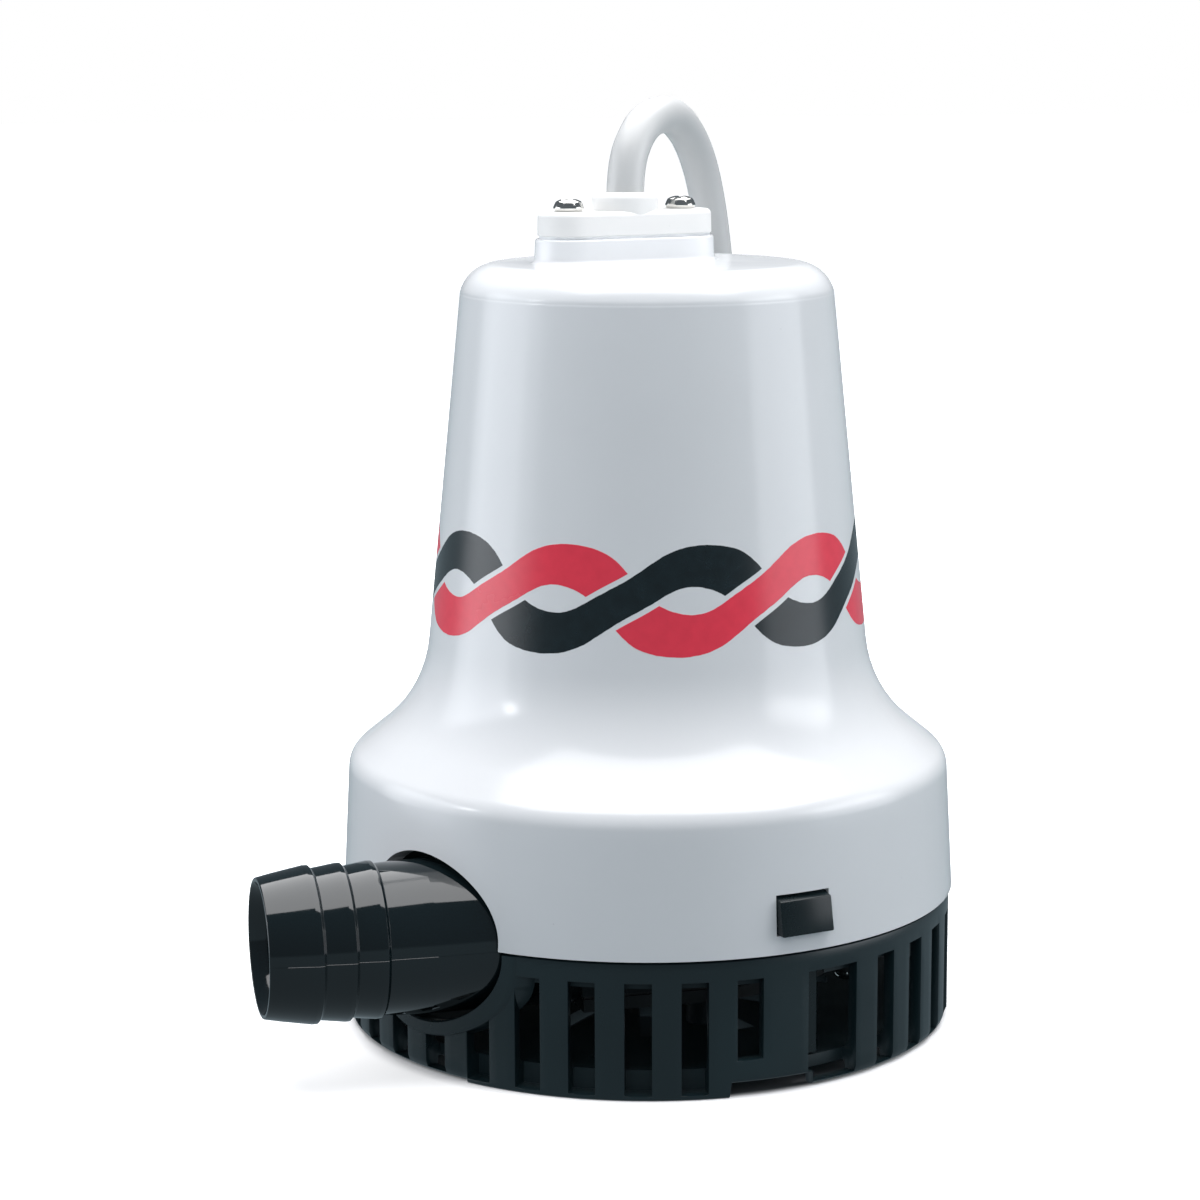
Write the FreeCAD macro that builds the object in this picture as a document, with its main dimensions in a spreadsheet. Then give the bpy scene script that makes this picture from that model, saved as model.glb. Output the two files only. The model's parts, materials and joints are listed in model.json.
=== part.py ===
import FreeCAD, Part
import math
import os
import Sketcher

# Submersible pump: a bell-shaped motor housing over a black volute and a
# slotted strainer base.  Millimetres.  +Z is up, the origin is on the body
# axis at the floor, and the hose outlet runs along -X in front of the axis.

V = FreeCAD.Vector
Rotation = FreeCAD.Rotation
doc = FreeCAD.newDocument("submersible_pump")

# ---------------------------------------------------------------- dimensions
SIZES = [
    # outer bell
    ("skirt_rad", 60.25, "skirt radius at its lower edge"),
    ("shelf_rad", 58.85, "radius of the skirt's upper corner"),
    ("shelf_lev", 52.4, "height of the skirt's upper corner"),
    ("flare_rad", 43.95, "radius where the shelf meets the cone"),
    ("flare_lev", 64.5, "height where the shelf meets the cone"),
    ("crease_rad", 36.065, "radius of the cone where the crown's round starts"),
    ("crease_lev", 142.6, "height of that line"),
    ("crown_rad", 34.565, "corner of the crown before its round"),
    ("crown_in", 32.7, "inside corner of the crown"),
    ("crown_lev", 148.2, "height of the top face"),
    ("seam_lev", 26.4, "lower edge of the skirt"),
    ("bell_wall", 2.8, "wall of the bell"),
    ("shelf_round", 5.0, "outer round of the skirt's upper corner"),
    ("flare_round", 26.0, "outer round between shelf and cone"),
    ("crown_round", 7.4, "outer round of the top face"),
    # cable pedestal and cap
    ("cap_x", -3.2, "cap centre"),
    ("cap_y", 4.05, "cap centre"),
    ("cap_half", 11.7, "half the distance between the cap's end centres"),
    ("ped_rad", 7.0, "end radius of the pedestal"),
    ("ped_top", 152.9, "top of the pedestal"),
    ("gasket_thk", 0.5, "cap gasket"),
    ("cap_rad", 6.6, "end radius of the cap"),
    ("cap_top", 158.0, "top of the cap"),
    ("boss_rad", 6.5, "cable boss radius"),
    ("boss_top", 161.5, "top of the cable boss"),
    ("cord_rad", 3.65, "supply cord radius"),
    ("screw_rad", 1.5, "screw shank radius"),
    # strainer base
    ("base_rad", 59.7, "strainer outer radius"),
    ("base_top", 25.8, "strainer rim"),
    ("base_low", 0.1, "underside of the strainer wall"),
    ("base_in", 57.3, "strainer wall, inside radius"),
    ("floor_low", 2.4, "underside of the strainer floor"),
    ("floor_top", 4.6, "upper side of the strainer floor"),
    ("spigot_in", 55.0, "spigot inside radius"),
    ("spigot_out", 57.0, "spigot outside radius"),
    ("spigot_top", 31.0, "top of the spigot"),
    ("slot_wide", 5.0, "strainer slot width"),
    ("slot_top", 22.1, "top of the strainer slots"),
    ("base_hole", 2.25, "fixing hole radius"),
    ("base_pcd", 96.0, "fixing hole circle"),
    # outlet
    ("out_y", -29.05, "outlet axis, distance in front of the body axis"),
    ("out_lev", 26.2, "outlet axis height"),
    ("crest_rad", 14.65, "barb crest radius"),
    ("root_rad", 14.0, "radius behind a barb"),
    ("lip_rad", 13.05, "radius at the mouth"),
    ("pipe_rad", 14.45, "plain pipe radius"),
    ("bore_rad", 11.0, "outlet bore radius"),
    ("throat_rad", 10.0, "outlet throat radius"),
    ("mouth_x", 82.6, "mouth, distance from the body axis"),
    ("hole_rad", 15.05, "hole round the pipe, end radius"),
    ("hole_off", 0.95, "its two end centres, above and below the pipe axis"),
    ("collar_rad", 17.6, "collar on the strainer round the pipe, end radius"),
    # volute
    ("scroll_rad", 37.9, "largest scroll radius"),
    ("scroll_step", 3.0, "scroll growth per quarter turn"),
    ("case_wall", 2.6, "volute wall"),
    ("case_low", 15.8, "underside of the volute casing"),
    ("roof_low", 36.6, "volute roof, inside"),
    ("roof_top", 39.6, "volute roof, outside"),
    ("cover_low", 12.8, "underside of the suction cover"),
    ("cover_top", 15.2, "upper side of the suction cover"),
    ("eye_rad", 12.0, "suction eye radius"),
    # rotor
    ("shaft_rad", 2.5, "motor shaft radius"),
    ("imp_rad", 24.5, "impeller radius"),
    ("imp_low", 17.5, "impeller blades, lower edge"),
    ("imp_back", 32.0, "impeller back plate, underside"),
    ("core_rad", 18.6, "armature radius"),
    # seal plate and motor
    ("plate_low", 44.0, "seal plate underside"),
    ("plate_top", 48.0, "seal plate upper side"),
    ("plate_rad", 55.9, "seal plate radius"),
    ("can_rad", 26.0, "motor can radius"),
    ("can_low", 56.0, "motor can lower end"),
    ("can_top", 133.0, "motor can upper end"),
    # lock tabs
    ("tab_wide", 10.8, "lock tab width"),
    ("tab_low", 30.0, "lock tab head, lower edge"),
    ("tab_top", 36.0, "lock tab head, upper edge in front"),
    ("tab_out", 61.9, "lock tab face at its lower edge, distance from the axis"),
]
sheet = doc.addObject("Spreadsheet::Sheet", "Sizes")
for row, (alias, value, words) in enumerate(SIZES, 1):
    sheet.set("A%d" % row, words)
    sheet.set("B%d" % row, repr(value))
    sheet.setAlias("B%d" % row, alias)
doc.recompute()


class Dim:
    """A number together with its formula over the sheet."""

    def __init__(self, num, txt):
        self.num, self.txt = float(num), txt

    def _mix(self, other, sign, swap=False):
        o = other if isinstance(other, Dim) else Dim(other, "%.6f" % float(other))
        a, b = (o, self) if swap else (self, o)
        if sign == "+":
            num = a.num + b.num
        elif sign == "-":
            num = a.num - b.num
        elif sign == "*":
            num = a.num * b.num
        else:
            num = a.num / b.num
        return Dim(num, "(%s %s %s)" % (a.txt, sign, b.txt))

    def __add__(self, o):
        return self._mix(o, "+")

    def __radd__(self, o):
        return self._mix(o, "+", True)

    def __sub__(self, o):
        return self._mix(o, "-")

    def __rsub__(self, o):
        return self._mix(o, "-", True)

    def __mul__(self, o):
        return self._mix(o, "*")

    def __rmul__(self, o):
        return self._mix(o, "*", True)

    def __truediv__(self, o):
        return self._mix(o, "/")

    def __neg__(self):
        return Dim(-self.num, "(0 - %s)" % self.txt)


class Sheet:
    pass


D = Sheet()
for alias, value, words in SIZES:
    setattr(D, alias, Dim(value, "Sizes." + alias))


def num(c):
    return c.num if isinstance(c, Dim) else float(c)


def size(obj, prop, c):
    setattr(obj, prop, num(c))
    if isinstance(c, Dim):
        obj.setExpression(prop, c.txt)


def place(obj, at=(0, 0, 0), rot=None):
    obj.Placement = FreeCAD.Placement(V(*[num(c) for c in at]), rot or Rotation())
    for axis, c in zip("xyz", at):
        if isinstance(c, Dim):
            obj.setExpression("Placement.Base." + axis, c.txt)


OUT = Rotation(V(0, 0, 1), V(-1, 0, 0))  # a cylinder's axis turned to -X
count = [0]


def tag(kind):
    count[0] += 1
    return "%s_%03d" % (kind, count[0])


def cyl(r, h, at=(0, 0, 0), rot=None, angle=None):
    o = doc.addObject("Part::Cylinder", tag("round"))
    size(o, "Radius", r)
    size(o, "Height", h)
    if angle is not None:
        o.Angle = angle
    place(o, at, rot)
    return o


def cone(r1, r2, h, at=(0, 0, 0), rot=None):
    o = doc.addObject("Part::Cone", tag("taper"))
    size(o, "Radius1", r1)
    size(o, "Radius2", r2)
    size(o, "Height", h)
    place(o, at, rot)
    return o


def box(x, y, z, at=(0, 0, 0), rot=None):
    o = doc.addObject("Part::Box", tag("block"))
    size(o, "Length", x)
    size(o, "Width", y)
    size(o, "Height", z)
    place(o, at, rot)
    return o


def torus(r1, r2, at=(0, 0, 0)):
    o = doc.addObject("Part::Torus", tag("ring"))
    size(o, "Radius1", r1)
    size(o, "Radius2", r2)
    place(o, at)
    return o


def fuse(*parts):
    if len(parts) == 1:
        return parts[0]
    o = doc.addObject("Part::MultiFuse", tag("joined"))
    o.Shapes = list(parts)
    o.Refine = True
    return o


def cut(base, *tools):
    o = doc.addObject("Part::Cut", tag("cut"))
    o.Base = base
    o.Tool = fuse(*tools)
    o.Refine = True
    return o


def common(a, b):
    o = doc.addObject("Part::Common", tag("shared"))
    o.Base, o.Tool = a, b
    return o


def group(*parts):
    o = doc.addObject("Part::Compound", tag("group"))
    o.Links = list(parts)
    return o


def ring(outer, inner, low, high, at=(0, 0)):
    """A plain tube between two levels."""
    return cut(
        cyl(outer, high - low, (at[0], at[1], low)),
        cyl(inner, high - low + 2, (at[0], at[1], low - 1)),
    )


def turned(angle):
    return Rotation(V(0, 0, 1), angle)


def polar(radius, angle):
    """x and y at an angle from +X."""
    a = math.radians(angle)
    return num(radius) * math.cos(a), num(radius) * math.sin(a)


def radial_box(r1, r2, wide, low, high, phi):
    """A block from radius r1 to r2, phi degrees from -Y towards +X."""
    a = math.radians(phi)
    er, et = (math.sin(a), -math.cos(a)), (math.cos(a), math.sin(a))
    w = num(wide) / 2
    at = (er[0] * num(r1) - et[0] * w, er[1] * num(r1) - et[1] * w, low)
    # local +X runs along the radius, local +Y along the tangent
    o = box(r2 - r1, wide, high - low, at, turned(phi - 90))
    return o


def outline(sk, pts):
    """A closed polygon, every corner tied to the sketch's origin."""
    n = len(pts)
    flat = [(num(x), num(y)) for x, y in pts]
    for i in range(n):
        a, b = flat[i], flat[(i + 1) % n]
        sk.addGeometry(Part.LineSegment(V(a[0], a[1], 0), V(b[0], b[1], 0)), False)
    for i in range(n):
        sk.addConstraint(Sketcher.Constraint("Coincident", i, 2, (i + 1) % n, 1))
    for i, (x, y) in enumerate(pts):
        for kind, c, line in (("DistanceX", x, -2), ("DistanceY", y, -1)):
            value = num(c)
            if abs(value) < 1e-9:
                sk.addConstraint(Sketcher.Constraint("PointOnObject", i, 1, line))
                continue
            if value > 0:
                k = sk.addConstraint(Sketcher.Constraint(kind, -1, 1, i, 1, value))
                txt = c.txt if isinstance(c, Dim) else None
            else:
                k = sk.addConstraint(Sketcher.Constraint(kind, i, 1, -1, 1, -value))
                txt = (-c).txt if isinstance(c, Dim) else None
            if txt:
                sk.setExpression("Constraints[%d]" % k, txt)


def origin_plane(body, role):
    return [f for f in body.Origin.OriginFeatures if f.Role == role][0]


def circle_edges(shape, spots):
    names = []
    for i, e in enumerate(shape.Edges, 1):
        if not isinstance(e.Curve, Part.Circle):
            continue
        for r, z in spots:
            if abs(e.Curve.Radius - num(r)) < 0.02 and abs(e.Curve.Center.z - num(z)) < 0.02:
                names.append("Edge%d" % i)
    if len(names) < len(spots):
        raise RuntimeError("an edge to round wasn't found")
    return names


def turned_body(label, pts, rounds=()):
    """A PartDesign body: a profile in the XZ plane turned about Z."""
    body = doc.addObject("PartDesign::Body", label + "_body")
    sk = body.newObject("Sketcher::SketchObject", label + "_profile")
    sk.AttachmentSupport = [(origin_plane(body, "XZ_Plane"), "")]
    sk.MapMode = "FlatFace"
    outline(sk, pts)
    rev = body.newObject("PartDesign::Revolution", label + "_turned")
    rev.Profile = sk
    rev.ReferenceAxis = (sk, ["V_Axis"])
    rev.Angle = 360
    body.Tip = rev
    doc.recompute()
    last = rev
    for radius, spots in rounds:
        f = body.newObject("PartDesign::Fillet", tag("fillet"))
        f.Base = (last, circle_edges(last.Shape, spots))
        size(f, "Radius", radius)
        body.Tip = f
        doc.recompute()
        last = f
    return body


def stadium(half, rad, low, high):
    """A round-ended block on the cap's centre, along the cap's axis."""
    a = CAP_TURN
    c, s = math.cos(math.radians(a)), math.sin(math.radians(a))
    parts = []
    for side in (-1, 1):
        parts.append(
            cyl(rad, high - low, (D.cap_x + half * (side * c), D.cap_y + half * (side * s), low))
        )
    parts.append(
        box(
            half * 2,
            rad * 2,
            high - low,
            (
                D.cap_x - half * c + rad * s,
                D.cap_y - half * s - rad * c,
                low,
            ),
            turned(a),
        )
    )
    return fuse(*parts)


def route_tube(points, radius, label, show=True):
    """A round tube along straight runs joined by tangent arcs."""
    P = [V(*p) for p in points]
    edges, start, radii, length = [], P[0], [], 0.0
    for i in range(1, len(P) - 1):
        a, b = P[i - 1] - P[i], P[i + 1] - P[i]
        la, lb = a.Length, b.Length
        ua, ub = a / la, b / lb
        turn = math.pi - ua.getAngle(ub)
        reach = 0.45 * min(la, lb)
        rad = reach / math.tan(turn / 2)
        radii.append(rad)
        p, q = P[i] + ua * reach, P[i] + ub * reach
        mid = P[i] + (ua + ub).normalize() * (rad / math.cos(turn / 2) - rad)
        edges.append(Part.LineSegment(start, p).toShape())
        edges.append(Part.Arc(p, mid, q).toShape())
        start = q
    edges.append(Part.LineSegment(start, P[-1]).toShape())
    wire = Part.Wire(edges)
    length = wire.Length
    normal = (P[1] - P[0]).normalize()
    section = Part.Wire([Part.Circle(P[0], normal, radius).toShape()])
    shape = wire.makePipeShell([section], True, True)
    if show:
        volume = math.pi * radius * radius * length
        print(
            "%s: length %.1f, radii %s, volume %.1f of %.1f"
            % (label, length, ", ".join("%.1f" % r for r in radii), shape.Volume, volume)
        )
        if abs(shape.Volume / volume - 1) > 0.01:
            raise RuntimeError(label + ": the tube's volume is wrong")
    o = doc.addObject("Part::Feature", tag("tube"))
    o.Shape = shape
    return o


def outlet_hole(rad, long, start):
    """A tall round-ended block along the pipe, a little higher than wide."""
    y, z, off = D.out_y, D.out_lev, D.hole_off
    return fuse(
        cyl(rad, long, (start, y, z + off), OUT),
        cyl(rad, long, (start, y, z - off), OUT),
        box(long, rad * 2, off * 2, (start - long, y - rad, z - off)),
    )


CAP_TURN = 13.3  # the cap's long axis, degrees from +X
TAB_AT = (12.3, 192.3)  # lock tabs, degrees from -Y towards +X
nodes = {}

# ---------------------------------------------------------------- motor housing
wall = D.bell_wall
shell = turned_body(
    "bell",
    [
        (0, D.crown_lev),
        (D.crown_rad, D.crown_lev),
        (D.crease_rad, D.crease_lev),
        (D.flare_rad, D.flare_lev),
        (D.shelf_rad, D.shelf_lev),
        (D.skirt_rad, D.seam_lev + 0.4),
        (D.skirt_rad - 0.4, D.seam_lev),
        (D.skirt_rad - wall, D.seam_lev),
        (D.shelf_rad - wall + 0.1, D.shelf_lev - 1.9),
        (D.flare_rad - wall - 0.6, D.flare_lev - 2.2),
        (D.crown_in, D.crown_lev - wall),
        (0, D.crown_lev - wall),
    ],
    [
        (D.crown_round, [(D.crown_rad, D.crown_lev)]),
        (D.flare_round, [(D.flare_rad, D.flare_lev)]),
        (D.shelf_round, [(D.shelf_rad, D.shelf_lev)]),
        (2.5, [(D.shelf_rad - wall + 0.1, D.shelf_lev - 1.9)]),
        (26.0, [(D.flare_rad - wall - 0.6, D.flare_lev - 2.2)]),
        (3.0, [(D.crown_in, D.crown_lev - wall)]),
    ],
)
pedestal = stadium(D.cap_half, D.ped_rad, D.crown_lev - 1, D.ped_top)
SCREW_OFF = 12.3
cap_spots = [
    (
        D.cap_x + side * SCREW_OFF * math.cos(math.radians(CAP_TURN)),
        D.cap_y + side * SCREW_OFF * math.sin(math.radians(CAP_TURN)),
    )
    for side in (-1, 1)
]
# six ribs that centre the motor can, trimmed to the inside of the cone
ribs = common(
    fuse(*[radial_box(D.can_rad + 0.3, 46, 2.0, 72, 146.5, 30 + 60 * k) for k in range(6)]),
    cone(42.0, 34.3, 76.5, (0, 0, 70.5)),
)
# four posts that hold the motor down
posts = [cyl(2.5, 146.5 - 136.3, (*polar(22.5, 45 + 90 * k), 136.3)) for k in range(4)]
# ledge and four bosses for the seal plate
ledge = ring(56.6, 51.6, 49.7, 53.0)
PLATE_SCREWS = [polar(47, a) for a in (20, 110, 200, 290)]
bosses = [cyl(3.6, 57.0 - 48.0, (x, y, D.plate_top)) for x, y in PLATE_SCREWS]
housing = cut(
    fuse(shell, pedestal, ribs, ledge, *posts, *bosses),
    cyl(4.5, 14, (D.cap_x, D.cap_y, 142)),
    *[cyl(D.screw_rad + 0.05, 6, (x, y, 149.2)) for x, y in cap_spots],
    *[cyl(D.screw_rad + 0.05, 9.5, (x, y, D.plate_top - 1)) for x, y in PLATE_SCREWS],
    outlet_hole(D.hole_rad, 60, -20),
    *[radial_box(54, 64, D.tab_wide + 0.4, D.tab_low - 0.2, D.tab_top + 1.4, p) for p in TAB_AT]
)
nodes["motor_housing"] = housing

# ---------------------------------------------------------------- cable entry
nodes["cap_gasket"] = cut(
    stadium(D.cap_half, D.cap_rad - 0.35, D.ped_top, D.ped_top + D.gasket_thk),
    cyl(4.9, 4, (D.cap_x, D.cap_y, 151)),
    *[cyl(D.screw_rad + 0.2, 4, (x, y, 151)) for x, y in cap_spots]
)
cap_low = D.ped_top + D.gasket_thk
nodes["cable_cap"] = cut(
    fuse(
        stadium(D.cap_half, D.cap_rad, cap_low, D.cap_top),
        cyl(D.boss_rad, D.boss_top - cap_low, (D.cap_x, D.cap_y, cap_low)),
    ),
    cyl(4.8, 157.8 - cap_low + 1, (D.cap_x, D.cap_y, cap_low - 1)),
    cyl(D.cord_rad + 0.1, 12, (D.cap_x, D.cap_y, 152)),
    *[cyl(D.screw_rad + 0.2, 12, (x, y, 150)) for x, y in cap_spots]
)
nodes["cable_grommet"] = cut(
    fuse(
        cyl(4.4, 8, (D.cap_x, D.cap_y, 146.6)),
        cyl(4.7, 157.8 - 153.0, (D.cap_x, D.cap_y, 153.0)),
    ),
    cyl(3.0, 14, (D.cap_x, D.cap_y, 145)),
)


def pan_screw(x, y, seat, head_r, head_h, tip, up=1):
    """A pan-head screw with a cross recess; up is the head's side."""
    low = min(seat, seat + up * head_h)
    head = cyl(head_r, head_h, (x, y, low))
    rim = seat + up * head_h
    f = doc.addObject("Part::Fillet", tag("fillet"))
    doc.recompute()
    f.Base = head
    f.Edges = [
        (i, head_h * 0.62, head_h * 0.62)
        for i, e in enumerate(head.Shape.Edges, 1)
        if isinstance(e.Curve, Part.Circle) and abs(e.Curve.Center.z - rim) < 0.01
    ]
    bars = [
        box(
            head_r * 1.15,
            0.8,
            1.6,
            (
                num(x) - head_r * 0.575 * c + 0.4 * s,
                num(y) - head_r * 0.575 * s - 0.4 * c,
                rim - 1.2 if up > 0 else rim - 0.4,
            ),
            turned(a),
        )
        for a, c, s in [
            (a, math.cos(math.radians(a)), math.sin(math.radians(a))) for a in (25, 115)
        ]
    ]
    shank = cyl(D.screw_rad, abs(seat - tip) + 0.2, (x, y, min(tip, seat - 0.2)))
    return cut(fuse(f, shank), *bars)


nodes["cap_screws"] = group(
    *[pan_screw(x, y, 158.0, 3.0, 2.5, 149.6) for x, y in cap_spots]
)

# ---------------------------------------------------------------- seal plate
nodes["seal_plate"] = cut(
    fuse(
        turned_body(
            "seal_plate",
            [
                (0, D.plate_low),
                (D.plate_rad, D.plate_low),
                (D.plate_rad, D.plate_top),
                (25.5, D.plate_top),
                (25.5, 52.0),
                (20.0, 52.0),
                (20.0, D.plate_top),
                (0, D.plate_top),
            ],
        ),
        cyl(9.5, 8, (0, 0, 37.0)),
    ),
    cyl(8.0, 9.0, (0, 0, 36.0)),
    cyl(3.4, 20, (0, 0, 35.0)),
    *[cyl(D.screw_rad + 0.2, 8, (x, y, 42)) for x, y in PLATE_SCREWS]
)
nodes["seal_plate_o_ring"] = torus(53.4, 0.8, (0, 0, 48.82))
nodes["seal_plate_screws"] = group(
    *[pan_screw(x, y, 44.0, 3.0, 2.2, 56.0, -1) for x, y in PLATE_SCREWS]
)
nodes["shaft_seal"] = turned_body(
    "shaft_seal",
    [
        (D.shaft_rad + 0.06, 42.4),
        (D.shaft_rad + 0.06, 43.2),
        (4.6, 44.9),
        (7.95, 44.9),
        (7.95, 38.4),
        (6.2, 38.4),
        (6.2, 43.0),
        (3.6, 42.0),
    ],
)

# ---------------------------------------------------------------- volute
quarter = D.scroll_step / 2


def scroll(extra, low, high, end):
    """The scroll's plan: four quarter rounds that grow round a small
    square, and the straight throat towards the outlet."""
    r3 = D.scroll_rad + extra
    r2, r1, r0 = r3 - D.scroll_step, r3 - D.scroll_step * 2, r3 - D.scroll_step * 3
    tall = high - low
    return fuse(
        cyl(r3, tall, (-quarter, -quarter, low), turned(-90), 90),
        cyl(r2, tall, (quarter, -quarter, low), turned(0), 90),
        cyl(r1, tall, (quarter, quarter, low), turned(90), 90),
        cyl(r0, tall, (-quarter, quarter, low), turned(180), 90),
        cyl(6, tall, (0, 0, low)),
        box(end - quarter, r3 - 1.0, tall, (-end, -quarter - r3, low)),
    )


def column_spot(angle, off):
    a = math.radians(angle)
    q, r = num(quarter), num(D.scroll_rad)
    step = num(D.scroll_step)
    k = int(((angle + 90) % 360) // 90)
    cx, cy = [(-q, -q), (q, -q), (q, q), (-q, q)][k]
    reach = r - step * k + cx * math.cos(a) + cy * math.sin(a)
    return (reach + off) * math.cos(a), (reach + off) * math.sin(a)


COLUMNS = [column_spot(a, 4.9) for a in (-40, 50, 140, 205)]
END_IN, END_OUT = 22.0, 24.6
# the barbed pipe, from the mouth inwards; every crest has a short land
barbs = [
    (D.mouth_x, D.lip_rad, 73.8, D.crest_rad),
    (73.8, D.crest_rad, 72.9, D.crest_rad),
    (72.9, D.crest_rad, 72.2, D.root_rad),
    (72.2, D.root_rad, 67.7, D.crest_rad),
    (67.7, D.crest_rad, 66.9, D.crest_rad),
    (66.9, D.crest_rad, 66.2, D.root_rad),
    (66.2, D.root_rad, 61.9, D.crest_rad),
    (61.9, D.crest_rad, 61.1, D.crest_rad),
    (61.1, D.crest_rad, 60.4, D.root_rad + 0.1),
    (60.4, D.root_rad + 0.1, 52.0, D.pipe_rad),
    (52.0, D.pipe_rad, 24.6, D.pipe_rad),
]
pipe = []
for far, r_far, near, r_near in barbs:
    at = (-near, D.out_y, D.out_lev)
    if r_far is r_near:
        pipe.append(cyl(r_near, far - near, at, OUT))
    else:
        pipe.append(cone(r_near, r_far, far - near, at, OUT))
casing = cut(
    fuse(
        scroll(D.case_wall, D.case_low, D.roof_top, END_OUT),
        *pipe,
        *[cyl(4.5, D.plate_low - D.case_low, (x, y, D.case_low)) for x, y in COLUMNS]
    ),
    scroll(Dim(0, "0"), D.case_low - 1, D.roof_low, END_IN),
    cyl(D.throat_rad, 8, (-18.0, D.out_y, D.out_lev), OUT),
    cone(D.throat_rad, D.bore_rad, 10, (-25.0, D.out_y, D.out_lev), OUT),
    cyl(D.bore_rad, 50, (-34.9, D.out_y, D.out_lev), OUT),
    cone(D.bore_rad, D.bore_rad + 1.2, 3.2, (-79.6, D.out_y, D.out_lev), OUT),
    cyl(9.8, 8, (0, 0, 34)),
    *[cyl(D.screw_rad + 0.2, 40, (x, y, 10)) for x, y in COLUMNS]
)
nodes["volute_casing"] = casing
cover_plan = [cyl(4.5, D.cover_top - D.cover_low, (x, y, D.cover_low)) for x, y in COLUMNS]
nodes["suction_cover"] = cut(
    fuse(
        scroll(D.case_wall, D.cover_low, D.cover_top, 24.4),
        cyl(D.eye_rad + 2.4, 3.0, (0, 0, D.cover_low - 2.0)),
        *cover_plan
    ),
    cyl(D.eye_rad, 10, (0, 0, 8)),
    cyl(D.pipe_rad + 0.25, 20, (-24.5, D.out_y, D.out_lev), OUT),
    *[cyl(D.screw_rad + 0.2, 8, (x, y, 10)) for x, y in COLUMNS]
)
nodes["volute_gasket"] = cut(
    scroll(D.case_wall - 0.3, D.cover_top, D.case_low, 24.3),
    scroll(Dim(0.3, "0.3"), D.cover_top - 1, D.case_low + 1, 22.3),
    cyl(D.pipe_rad + 0.25, 20, (-24.5, D.out_y, D.out_lev), OUT),
    *[cyl(D.screw_rad + 0.4, 8, (x, y, 12)) for x, y in COLUMNS]
)
nodes["volute_screws"] = group(
    *[pan_screw(x, y, 12.8, 3.0, 2.2, 46.5, -1) for x, y in COLUMNS]
)
# the seal plate takes the volute screws' tips
nodes["seal_plate"] = cut(
    nodes["seal_plate"], *[cyl(D.screw_rad + 0.05, 4, (x, y, 43)) for x, y in COLUMNS]
)

# ---------------------------------------------------------------- rotor
nodes["motor_shaft"] = fuse(
    cyl(D.shaft_rad, 128.0, (0, 0, 13.0)), cone(D.shaft_rad, 1.9, 0.8, (0, 0, 141.0))
)
imp = doc.addObject("PartDesign::Body", "impeller_body")
sk = imp.newObject("Sketcher::SketchObject", "impeller_profile")
sk.AttachmentSupport = [(origin_plane(imp, "XZ_Plane"), "")]
sk.MapMode = "FlatFace"
outline(
    sk,
    [
        (D.shaft_rad, D.imp_low),
        (5.5, D.imp_low),
        (7.0, D.imp_back - 3),
        (9.0, D.imp_back),
        (D.imp_rad, D.imp_back),
        (D.imp_rad, D.imp_back + 1.6),
        (6.5, D.imp_back + 1.6),
        (6.5, D.imp_back + 3.6),
        (D.shaft_rad, D.imp_back + 3.6),
    ],
)
disc = imp.newObject("PartDesign::Revolution", "impeller_disc")
disc.Profile = sk
disc.ReferenceAxis = (sk, ["V_Axis"])
disc.Angle = 360
imp.Tip = disc
doc.recompute()
# one blade between two arcs about the same centre, then six round the hub
bl = imp.newObject("Sketcher::SketchObject", "blade_plan")
bl.AttachmentSupport = [(origin_plane(imp, "XY_Plane"), "")]
bl.MapMode = "FlatFace"
bl.AttachmentOffset = FreeCAD.Placement(V(0, 0, num(D.imp_low)), Rotation())
bl.setExpression("AttachmentOffset.Base.z", D.imp_low.txt)
blade_c = (11.0, -9.0)
for r in (17.2, 15.8):
    k = bl.addGeometry(
        Part.ArcOfCircle(Part.Circle(V(blade_c[0], blade_c[1], 0), V(0, 0, 1), r), math.radians(43), math.radians(130)),
        False,
    )
g0, g1 = bl.Geometry[0], bl.Geometry[1]
bl.addGeometry(Part.LineSegment(g0.StartPoint, g1.StartPoint), False)
bl.addGeometry(Part.LineSegment(g0.EndPoint, g1.EndPoint), False)
bl.addConstraint(Sketcher.Constraint("Coincident", 0, 3, 1, 3))
bl.addConstraint(Sketcher.Constraint("Coincident", 2, 1, 0, 1))
bl.addConstraint(Sketcher.Constraint("Coincident", 2, 2, 1, 1))
bl.addConstraint(Sketcher.Constraint("Coincident", 3, 1, 0, 2))
bl.addConstraint(Sketcher.Constraint("Coincident", 3, 2, 1, 2))
bl.addConstraint(Sketcher.Constraint("Radius", 0, 17.2))
bl.addConstraint(Sketcher.Constraint("Radius", 1, 15.8))
blade = imp.newObject("PartDesign::Pad", "blade")
blade.Profile = bl
size(blade, "Length", D.imp_back - D.imp_low + 0.2)
imp.Tip = blade
doc.recompute()
pat = imp.newObject("PartDesign::PolarPattern", "blades")
pat.Originals = [blade]
pat.Axis = (bl, ["N_Axis"])
pat.Angle = 360
pat.Occurrences = 6
imp.Tip = pat
doc.recompute()
nodes["impeller"] = imp
hexagon = doc.addObject("Part::Prism", "nut_hexagon")
hexagon.Polygon = 6
hexagon.Circumradius = 4.6
hexagon.Height = 3.4
place(hexagon, (0, 0, 13.9))
nodes["impeller_nut"] = cut(hexagon, cyl(D.shaft_rad, 8, (0, 0, 12)))

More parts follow.
